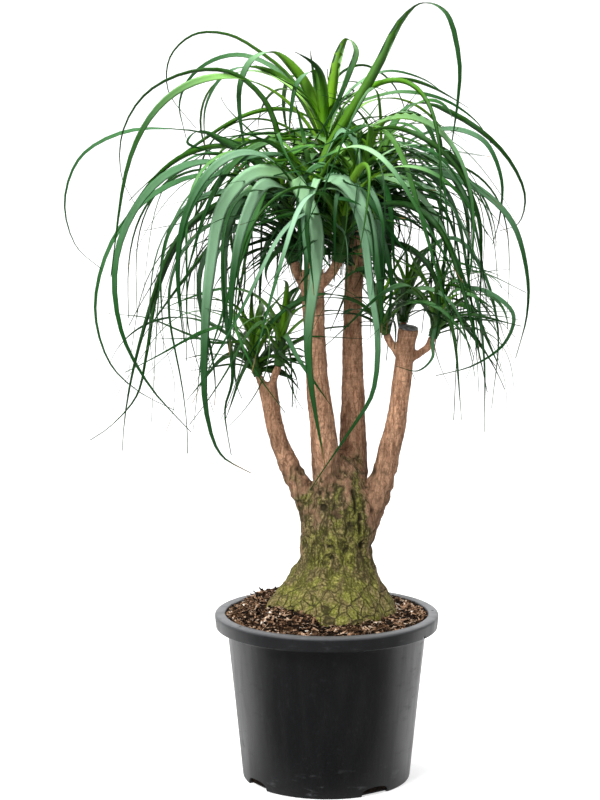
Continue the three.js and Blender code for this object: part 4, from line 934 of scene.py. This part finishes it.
TRACED_MM = [  # shoot, width, roll at the root and twist along it in degrees, painted sheen, youth, midrib points
    ("shoot_front", 17, -72, 140, 0.3, 0.35, [(1, -45, 835), (30, -42, 885), (62, -38, 940),
     (96, -35, 1004), (122, -35, 1024), (150, -36, 1012), (168, -40, 950), (166, -48, 900),
     (155, -60, 827)]),
    ("shoot_front", 21, -30, -50, 0.8, 0.1, [(-48, -64, 803), (-90, -82, 810), (-130, -92, 772),
     (-148, -97, 690), (-156, -98, 590), (-154, -96, 505), (-136, -90, 450), (-98, -82, 425)]),
    ("shoot_left", 13, 20, -90, 0.35, 0.1, [(-80, -20, 792), (-106, -50, 781), (-128, -66, 735),
     (-132, -70, 650), (-122, -68, 545), (-132, -66, 505), (-124, -64, 445)]),
    ("shoot_front", 20, -10, -62, 0.85, 0.1, [(-45, -72, 785), (-79, -100, 795), (-104, -111, 750),
     (-118, -116, 683), (-123, -120, 581)]),
    ("shoot_front", 22, 10, -15, 0.85, 0.15, [(-31, -70, 799), (-40, -84, 802), (-31, -96, 785),
     (-18, -104, 758), (-12, -110, 726), (-14, -113, 688), (-24, -113, 606), (-19, -112, 535),
     (-2, -108, 438)]),
    ("shoot_front", 15, 0, 15, 0.45, 0, [(-25, -72, 796), (-29, -88, 775), (-28, -94, 743),
     (-26, -96, 700), (-27, -96, 659), (-26, -94, 614)]),
    ("shoot_front", 13, 15, 45, 0.6, 0, [(-7, -76, 790), (19, -92, 790), (36, -100, 767),
     (47, -104, 728), (55, -106, 663), (64, -106, 607), (58, -103, 532), (35, -100, 491),
     (-3, -96, 434), (-22, -93, 404)]),
    ("shoot_front", 24, 10, 20, 0.85, 0.1, [(-4, -78, 800), (18, -98, 798), (38, -108, 777),
     (54, -112, 743), (62, -114, 698), (68, -112, 651), (69, -108, 602)]),
    ("shoot_front", 16, 10, 35, 0.7, 0, [(-2, -66, 801), (31, -78, 793), (55, -84, 766), (69, -88, 727),
     (81, -88, 681), (80, -86, 642), (75, -82, 605)]),
    ("shoot_mid", 10, 20, 20, 0.5, 0, [(12, -72, 758), (12, -80, 745), (21, -84, 736), (26, -86, 712),
     (25, -86, 674), (20, -84, 623)]),
    ("shoot_centre", 17, 0, 15, 0.6, 0, [(52, -50, 788), (64, -68, 745), (71, -74, 690), (69, -76, 636)]),
    ("shoot_front", 17, 10, 50, 0.35, 0, [(-4, -70, 803), (18, -86, 802), (49, -95, 779),
     (83, -93, 732), (103, -90, 705)]),
    ("shoot_front", 14, 20, 55, 0.5, 0, [(-4, -50, 822), (17, -52, 862), (30, -54, 858), (48, -61, 790),
     (68, -67, 742), (100, -74, 713)]),
    ("shoot_centre", 15, -60, 125, 0.8, 0.6, [(52, -6, 826), (67, 2, 866), (93, 6, 887), (121, 6, 880),
     (141, 4, 846), (148, 0, 797)]),
    ("shoot_right", 14, 50, -100, 0.15, 0.05, [(84, 42, 866), (116, 38, 899), (174, 36, 881),
     (233, 34, 834), (261, 32, 779), (253, 32, 742), (228, 32, 732)]),
    ("shoot_right", 11, 25, 40, 0.3, 0, [(110, 40, 850), (160, 26, 866), (205, 16, 850), (228, 10, 800),
     (226, 8, 750), (217, 6, 715)]),
    ("shoot_top", 10, 30, 40, 0.2, 0.3, [(26, 48, 893), (56, 54, 906), (99, 58, 915), (154, 60, 905),
     (198, 60, 876), (218, 60, 847)]),
    ("shoot_right", 12, 25, 45, 0.3, 0, [(106, 28, 814), (150, 0, 808), (201, -10, 785),
     (241, -14, 744), (261, -16, 676), (261, -16, 623), (247, -16, 567)]),
    ("shoot_top", 9, -50, 10, 0.15, 0, [(2, 54, 912), (20, 62, 941), (49, 67, 950), (84, 71, 929),
     (104, 73, 888), (100, 74, 858)]),
    ("shoot_top", 8, 50, 30, 0.7, 0.3, [(16, 32, 898), (48, 26, 930), (81, 24, 941), (126, 22, 930),
     (156, 20, 909)]),
    ("shoot_top", 17, 62, -125, 0.8, 0.4, [(-22, 34, 910), (-42, 29, 942), (-72, 25, 965),
     (-98, 22, 956), (-114, 20, 925), (-114, 18, 875), (-102, 16, 815)]),
    ("shoot_top", 16, -65, 125, 0.7, 0.9, [(4, 34, 905), (14, 28, 960), (26, 24, 982), (37, 21, 968),
     (28, 17, 938), (8, 12, 890), (-25, 4, 837)]),
    ("shoot_top", 16, 58, -112, 0.9, 0.3, [(-7, 30, 905), (-18, 22, 940), (-38, 14, 927), (-48, 8, 885),
     (-50, 4, 850)]),
    ("shoot_top", 15, 55, -100, 0.8, 0.2, [(-45, 45, 920), (-98, 47, 947), (-135, 48, 938),
     (-161, 50, 897), (-163, 50, 838)]),
    ("shoot_top", 8, 55, -10, 0.15, 0.3, [(-45, 57, 928), (-86, 65, 965), (-133, 71, 991),
     (-178, 74, 991), (-210, 76, 962), (-213, 76, 917), (-176, 76, 867)]),
    ("shoot_top", 12, -35, -35, 0.2, 0.15, [(-36, 66, 915), (-76, 80, 950), (-117, 90, 965),
     (-155, 96, 958), (-186, 98, 934), (-200, 99, 900), (-191, 99, 854)]),
    ("shoot_left", 10, 50, -12, 0.1, 0.1, [(-64, 6, 855), (-84, 0, 905), (-126, -4, 938),
     (-181, -6, 938), (-236, -8, 910), (-266, -10, 861), (-268, -12, 805), (-250, -14, 767)]),
    ("shoot_left", 11, 20, -75, 0.1, 0, [(-95, 24, 834), (-146, 27, 856), (-205, 29, 866),
     (-274, 30, 860), (-327, 30, 828), (-348, 30, 770), (-334, 30, 712), (-300, 30, 681)]),
    ("shoot_left", 17, 60, -120, 0.25, 0, [(-86, -6, 818), (-132, -14, 848), (-168, -18, 862),
     (-181, -21, 848), (-150, -24, 836)]),
    ("shoot_left", 14, 20, -85, 0.2, 0, [(-110, -8, 813), (-160, -22, 823), (-208, -32, 806),
     (-250, -38, 760), (-274, -42, 691), (-267, -44, 605), (-231, -42, 533), (-178, -38, 472)]),
    ("shoot_left", 12, 30, -90, 0.12, 0, [(-120, 38, 802), (-180, 48, 803), (-245, 56, 770),
     (-292, 60, 710), (-313, 62, 625), (-294, 62, 552), (-256, 60, 514), (-206, 58, 488)]),
    ("shoot_left", 10, 40, 20, 0.1, 0, [(-122, 62, 776), (-185, 86, 738), (-230, 98, 655),
     (-248, 102, 560), (-262, 102, 503), (-299, 100, 460), (-327, 98, 441)]),
    ("shoot_low_back", 9, 30, 30, 0.2, 0, [(132, 24, 706), (168, 30, 722), (203, 34, 686),
     (228, 36, 600), (221, 36, 495)]),
    ("shoot_low_right", 8, 30, 30, 0.2, 0, [(165, -14, 668), (190, -10, 655), (206, -8, 570),
     (208, -8, 468)]),
    ("shoot_low_right", 8, 30, 30, 0.2, 0, [(168, -34, 658), (205, -44, 657), (240, -50, 628),
     (230, -53, 592), (190, -52, 562), (141, -50, 548)]),
    ("shoot_low_right", 8, 40, -20, 0.2, 0, [(137, -36, 592), (137, -44, 571), (118, -48, 554),
     (89, -48, 560)]),
    ("shoot_low_left", 8, 40, 10, 0.2, 0, [(-114, 0, 586), (-150, -5, 586), (-189, -9, 600),
     (-235, -12, 619), (-287, -12, 625)]),
    ("shoot_low_left", 8, 40, 10, 0.2, 0, [(-106, -14, 578), (-116, -22, 545), (-131, -26, 505),
     (-146, -28, 474)]),
    ("shoot_low_front", 9, 30, 30, 0.2, 0, [(-52, -34, 596), (-38, -54, 572), (-12, -64, 535),
     (5, -68, 511)])]


def steady_draws(seed, count):
    """A run of numbers from 0 to 1 from a linear congruential rule, the same on any machine."""
    state, draws = seed, []
    for _ in range(count):
        state = (state * 1664525 + 1013904223) % 2**32
        draws.append(state / 2**32)
    return np.array(draws)


def spaced_midrib(root, through_mm):
    """Midrib of a traced leaf: the smooth curve from its root through its points, in even steps."""
    line = through_points(np.vstack([root, np.array(through_mm) / 1000]), 400)
    run = np.concatenate([[0], np.cumsum(np.linalg.norm(np.diff(line, axis=0), axis=1))])
    even = np.linspace(0, run[-1], LEAF_STEPS + 1)
    return np.stack([np.interp(even, run, line[:, k]) for k in range(3)], axis=-1)


def growth_rule(age, heading, draws, length, width, hang):
    """Traits of leaves by age, 0 young to 1 old, and nine draws each: where the leaf sits on the core, its
    heading, the angles at which it rises and falls, how soon it bends over, its curl, size, roll, twist."""
    grown = (0.28 + 0.72 * ease(age / 0.3)) * (1 - 0.3 * ease((age - 0.7) / 0.3))
    return {
        "age": age,
        "seat": 0.95 - 0.87 * age**0.9,
        "heading": heading + np.radians(-12 + 24 * draws[0]),
        "rise": np.radians(84 - 54 * age**0.85 - 12 + 24 * draws[1]),
        "fall": np.radians(14 - hang * age**0.4 + 50 * (1 - ease(age / 0.3)) - 30 + 50 * draws[2]),
        "span": 0.5 + 0.5 * draws[3],
        "curl": np.radians(-90 + 180 * draws[4]),
        "length": length * grown * (0.74 + 0.34 * draws[5]),
        "width": width * (0.5 + 0.5 * draws[6]),
        "roll": np.radians(-35 + 70 * draws[7]),
        "twist": np.radians(-100 + 200 * draws[8])}


def grown_midribs(root, leaf, length):
    """Midribs (n, steps + 1, 3): each step goes on at a slope that eases from the rise to the fall over the
    span of the length, while the heading swings by the curl times the square of the share covered."""
    u = (np.arange(LEAF_STEPS) + 0.5) / LEAF_STEPS
    bend = 0.5 - 0.5 * np.cos(math.pi * np.minimum(1, u / leaf["span"][:, None]) ** 0.9)
    slope = leaf["rise"][:, None] * (1 - bend) + leaf["fall"][:, None] * bend
    heading = leaf["heading"][:, None] + leaf["curl"][:, None] * u * u
    level = np.cos(slope)
    step = np.stack([level * np.cos(heading), level * np.sin(heading), np.sin(slope)], axis=-1)
    step *= (length / LEAF_STEPS)[:, None, None]
    reached = np.concatenate([np.zeros((len(length), 1, 3)), np.cumsum(step, axis=1)], axis=1)
    return root[:, None, :] + reached


def inside_crown(midribs, low):
    """Whether each leaf stays under the crown's dome, a flattened ball above its foot and a drum below it,
    above the hem, which is higher before and behind the stems, and out of the space before the wax seal."""
    x, y, z = np.moveaxis(midribs, -1, 0) * 1000
    c = CROWN_MM
    middle, foot, wide, slope = c["low_hem"] if low else c["hem"]
    hem = middle + (foot - middle) * ease((np.abs(x - c["axis"]) - wide) / slope)
    across = (x > c["seal_left"]) & (x < c["seal_right"])
    sealed = across & (z > c["seal_low"]) & (z < c["seal_high"]) & (y < 0)
    rise = np.maximum(z - c["dome_foot"], 0) / (c["top"] - c["dome_foot"])
    inside = ((x - c["dome_axis"]) / c["dome_radius"]) ** 2 + (y / c["dome_radius"]) ** 2 + rise**2 < 1
    held = (x > c["left"]) & (x < c["right"]) & inside & (z > hem) & ~sealed
    return held.all(axis=1)


def grow_leaves(name, axis, leaf):
    """Midribs of leaves on a shoot, each shortened in steps until it keeps inside the crown. Those that don't
    keep inside at their shortest are left out."""
    place = leaf["seat"] * (len(axis) - 1)
    root = np.stack([np.interp(place, np.arange(len(axis)), axis[:, k]) for k in range(3)], axis=-1)
    midribs = np.zeros((len(place), LEAF_STEPS + 1, 3))
    placed = np.zeros(len(place), dtype=bool)
    for share in (1, 0.84, 0.68, 0.52, 0.4):
        tried = grown_midribs(root, leaf, leaf["length"] * share)
        fits = inside_crown(tried, is_low(name)) & ~placed
        midribs[fits] = tried[fits]
        placed |= fits
    return midribs[placed], {key: values[placed] for key, values in leaf.items()}


def leaf_taper(u):
    """Share of a leaf's full width along it: nearly full at the sheath, widest low down, then to a thread."""
    return (0.72 + 0.28 * ease(u / 0.12)) * np.maximum(0, 1 - u**1.4) ** 0.92


def picked_rows(ahead, count):
    """Places of the sections on each midrib, as step numbers: half of them go by length, half by how much the
    midrib turns, so that a sharp fold has more of them."""
    turn = np.linalg.norm(np.diff(ahead, axis=1), axis=-1)
    share = 0.5 / LEAF_STEPS + 0.5 * turn / (turn.sum(axis=1, keepdims=True) + 1e-9)
    reached = np.concatenate([np.zeros((len(ahead), 1)), np.cumsum(share, axis=1)], axis=1)
    wanted = np.linspace(0, 1, count)
    return np.stack([np.interp(wanted, row / row[-1], np.arange(LEAF_STEPS + 1)) for row in reached])


def at_rows(values, rows):
    """Values (n, steps + 1, 3) read between steps at fractional step numbers (n, rows)."""
    low = np.minimum(rows.astype(int), LEAF_STEPS - 1)
    part = (rows - low)[..., None]
    first = np.take_along_axis(values, low[..., None], axis=1)
    return first * (1 - part) + np.take_along_axis(values, low[..., None] + 1, axis=1) * part


def blade_rings(midribs, width, roll, twist):
    """Six-cornered sections across leaves (n, rows, 6, 3): two edges, three points of the channelled upper
    face and the keel. The section's side starts level, is carried along the midrib without spinning and then
    turned about it by the roll and by a twist that comes in where the midrib is highest."""
    ahead = np.gradient(midribs, axis=1)
    ahead /= np.linalg.norm(ahead, axis=-1, keepdims=True)
    reach = midribs[:, LEAF_STEPS // 2] - midribs[:, 0]
    side = np.stack([reach[:, 1], -reach[:, 0], np.zeros(len(reach))], axis=-1)
    side /= np.linalg.norm(side, axis=-1, keepdims=True)
    sides = np.zeros_like(midribs)
    for i in range(LEAF_STEPS + 1):
        side = side - (side * ahead[:, i]).sum(-1, keepdims=True) * ahead[:, i]
        side = side / np.linalg.norm(side, axis=-1, keepdims=True)
        sides[:, i] = side
    rows = picked_rows(ahead, SECTION_ROWS)
    u = rows / LEAF_STEPS
    along, level, spine = (at_rows(values, rows) for values in (ahead, sides, midribs))
    apex = midribs[..., 2].argmax(axis=1)[:, None] / LEAF_STEPS
    angle = (roll[:, None] + twist[:, None] * ease((u - apex) / 0.3 + 0.5))[..., None]
    upright = np.cross(level, along)
    across = level * np.cos(angle) + np.cross(along, level) * np.sin(angle)
    up = np.cross(across, along)
    turned_over = (up[:, :1] * upright[:, :1]).sum(-1, keepdims=True) < 0
    up = np.where(turned_over, -up, up)
    breadth = np.maximum(width[:, None] * leaf_taper(u), 0.0011)[..., None]
    thick = np.maximum(0.0009 * (1 - 0.7 * u), 0.00025)[..., None]
    section = [(-0.5, 0.08, 0), (-0.24, 0.03, 0), (0, 0, 0), (0.24, 0.03, 0), (0.5, 0.08, 0), (0, 0, -1)]
    corners = [spine + breadth * (a * across + b * up) + c * thick * up for a, b, c in section]
    return np.stack(corners, axis=2), u


def leaf_finish():
    """Leaf: satin ribbon, bright green when young and at the sheath, deep, nearly black green when old by
    painted shade. The upper face is paler and bluer than the lower by a painted sheen that fades past the
    middle of the leaf; the lower face is a deeper green, partly its own colour and partly painted shade, and
    painted shade darkens every leaf towards its tip. Fine veins, a waxy bloom in patches and dry brown at
    some tips."""
    material, tree, shader = new_finish("palm_leaf", 0.4)
    shader.inputs["Specular IOR Level"].default_value = 0.06
    blade = tree.nodes.new("ShaderNodeUVMap")
    blade.uv_map = "blade"
    along = coordinates(tree, blade.outputs["UV"])["Y"]
    youth, chance, shade, under = (read_mark(tree, mark) for mark in ("youth", "chance", "shade", "under"))
    veins = add_node(tree, "ShaderNodeTexWave", Scale=3.2, Distortion=0.6)
    veins.bands_direction = "X"
    tree.links.new(blade.outputs["UV"], veins.inputs["Vector"])
    # Painted sheen: each leaf's chance makes its upper face paler and bluer, fading past the middle of the
    # leaf.
    pale = times(tree, chance, fade(tree, along, 0.45, 0.65, 1.0, 0.1))
    feed(tree, shader.inputs["Base Color"], layered(
        tree, blend_color(tree, pale, (0.008, 0.085, 0.012), (0.28, 0.48, 0.32)),
        # Undersides: a deeper green, partly their own colour and partly painted shade, as they face away from
        # the light.
        (under, blend_color(tree, chance, (0.003, 0.04, 0.001), (0.03, 0.13, 0.006))),
        # Painted shade on old leaves, which sit low inside the crown.
        (times(tree, shade, 0.9), (0.001, 0.012, 0.001)),
        (times(tree, youth, fade(tree, along, 0.05, 0.6, 1.0, 0.1)),
         blend_color(tree, chance, (0.13, 0.36, 0.008), (0.3, 0.56, 0.02))),
        (times(tree, add_mask(tree, PATCHES, 22.0), 0.08), (0.24, 0.45, 0.28)),
        (times(tree, veins.outputs["Fac"], 0.09), (0.2, 0.42, 0.1)),
        (times(tree, fade(tree, along, 0.2, 0.0), fade(tree, shade, 0, 1, 0.75, 0.05)), (0.16, 0.34, 0.035)),
        # Painted shade: every leaf darker towards its tip, where it hangs away from the light.
        (fade(tree, along, 0.5, 0.8, 0.0, 0.72), (0.002, 0.03, 0.003)),
        (times(tree, fade(tree, along, 0.93, 0.985), fade(tree, chance, 0.62, 0.7)), (0.26, 0.15, 0.06))))
    add_bump(tree, shader, veins.outputs["Fac"], 0.25, 0.0004)
    return material


def set_blade_map(piece, across, along):
    """UV map of the leaves: U across the blade, V from root to tip, one value a point."""
    layer = piece.data.uv_layers.new(name="blade")
    corners = np.empty(len(piece.data.loops), dtype=np.int32)
    piece.data.loops.foreach_get("vertex_index", corners)
    pairs = np.stack([across[corners], along[corners]], axis=-1)
    layer.data.foreach_set("uv", pairs.astype(np.float32).ravel())


def set_under(piece, walls):
    """Marks the faces of the blades' undersides: of each section's six faces the last two."""
    layer = piece.data.attributes.new("under", "FLOAT", "FACE")
    marks = np.zeros(len(piece.data.polygons), dtype=np.float32)
    marks[:walls] = np.tile([0, 0, 0, 0, 1, 1], walls // 6)
    layer.data.foreach_set("value", marks)


def leaf_traits(name, number, rng):
    """Traits of a shoot's grown leaves: the frame's, those between them and a brush of short young ones."""
    count, extra, length, width = SHOOT_GROWTH[name]
    draws = steady_draws(FRAME_SEED + SEED_STEP * number, count * 9).reshape(count, 9).T
    order = np.arange(count)
    hang = LOW_HANG if is_low(name) else TALL_HANG
    ruled = growth_rule(1 - order / (count - 1), np.radians(GOLDEN_ANGLE) * order, draws, length, width, hang)
    if name in LEANING:
        leaning, aside = LEANING[name]
        ruled["heading"][leaning] += np.radians(aside)
    between = growth_rule(rng.beta(1.1, 0.9, extra), rng.uniform(0, 2 * math.pi, extra),
                          rng.random((9, extra)), length, width * 0.72, hang)
    between["curl"] = between["curl"] * 2.0
    between["fall"] = between["fall"] + np.radians(rng.uniform(-45, 12, extra))
    tufts, reach, broad, drop = LOW_BRUSH if is_low(name) else TALL_BRUSH
    brush = growth_rule(rng.beta(2.5, 1.0, tufts), rng.uniform(0, 2 * math.pi, tufts),
                        rng.random((9, tufts)), length * reach, width * broad, hang)
    brush["fall"] = brush["rise"] - np.radians(drop)
    return {key: np.concatenate([ruled[key], between[key], brush[key]]) for key in ruled}


def make_leaves(name, axis, number, rng):
    """All leaves of a shoot in one piece: the grown ones, then the traced ones. Young leaves are brighter,
    old ones get painted shade, and a chance draw sets how much painted sheen each has."""
    midribs, leaf = grow_leaves(name, axis, leaf_traits(name, number, rng))
    traced = [row for row in TRACED_MM if row[0] == name]
    if traced:
        start = axis[round(0.8 * (len(axis) - 1))]
        midribs = np.concatenate([midribs, [spaced_midrib(start, row[6]) for row in traced]])
        rows = np.array([row[1:6] for row in traced], dtype=float)
        known = {"width": rows[:, 0] / 1000, "roll": np.radians(rows[:, 1]), "twist": np.radians(rows[:, 2]),
                 "age": np.full(len(traced), 0.45)}
        leaf = {key: np.concatenate([leaf[key], values]) for key, values in known.items()}
    # A chance draw sets each leaf's painted sheen; it also varies its greens and its dry tip.
    chance, youth = rng.random(len(midribs)) ** 2, np.clip(1.3 - leaf["age"] * 2.9, 0, 1)
    if name == "shoot_top":
        youth = np.clip(1.7 - leaf["age"] * 2.4, 0.1, 1)
    if is_low(name):
        chance, youth = chance * 0.5, np.clip(1.4 - leaf["age"] * 2.2, 0.1, 1)
    if traced:
        chance[-len(traced):], youth[-len(traced):] = rows[:, 3], rows[:, 4]
    rings, u = blade_rings(midribs, leaf["width"], leaf["roll"], leaf["twist"])
    points, faces = many_tubes(rings)
    leaves = new_piece(name + "_leaves", points, faces, LEAF)
    # Painted shade for old leaves, which sit low inside the crown.
    shade = np.clip(leaf["age"] * 2.0 - 0.75, 0, 1)
    for mark, values in (("youth", youth), ("shade", shade), ("chance", chance)):
        set_values(leaves, mark, np.repeat(values, rings.shape[1] * 6))
    set_under(leaves, len(faces[0]))
    across = np.tile([0.0, 0.25, 0.5, 0.75, 1.0, 0.5], len(points) // 6)
    set_blade_map(leaves, across, np.repeat(u.ravel(), 6))
    return leaves


def make_core(name, axis):
    """Packed leaf bases: a tapering tube with shallow rings, one for each layer of sheaths."""
    radius = LOW_CORE_RADIUS if is_low(name) else CORE_RADIUS
    t = np.linspace(0, 1, len(axis))
    thick = radius * (0.9 + 0.2 * ease(t / 0.25)) * (1 - t**2.4 * 0.8) * (1 + 0.05 * np.sin(t * 60))
    points, faces = many_tubes(tube_rings(axis, thick, 20)[None])
    core = new_piece(name + "_core", points, faces, LEAF)
    # The core gets painted shade: it sits in the dark heart of the shoot, under its leaves.
    for mark, value in (("youth", 0.0), ("shade", 0.9), ("chance", 0.1)):
        set_values(core, mark, np.full(len(points), value))
    set_blade_map(core, np.tile(np.linspace(0, 6, 20), len(t)), np.repeat(0.02 + 0.05 * t, 20))
    return core


def make_shoot(name, number):
    """The leaves and the core of one shoot, on the leafy part of its path."""
    path = np.array(SHOOT_PATHS_MM[name]) / 1000
    line = through_points(path, 40 * (len(path) - 1) + 1)
    axis = line[round(leafy_from(path) * (len(line) - 1)):]
    rng = np.random.default_rng(SCENE_SEED + number)
    for piece in (make_leaves(name, axis, number, rng), make_core(name, axis)):
        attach(piece, "root")
        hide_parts(name)


LEAF = leaf_finish()
for number, name in enumerate(SHOOT_PATHS_MM):
    make_shoot(name, number)
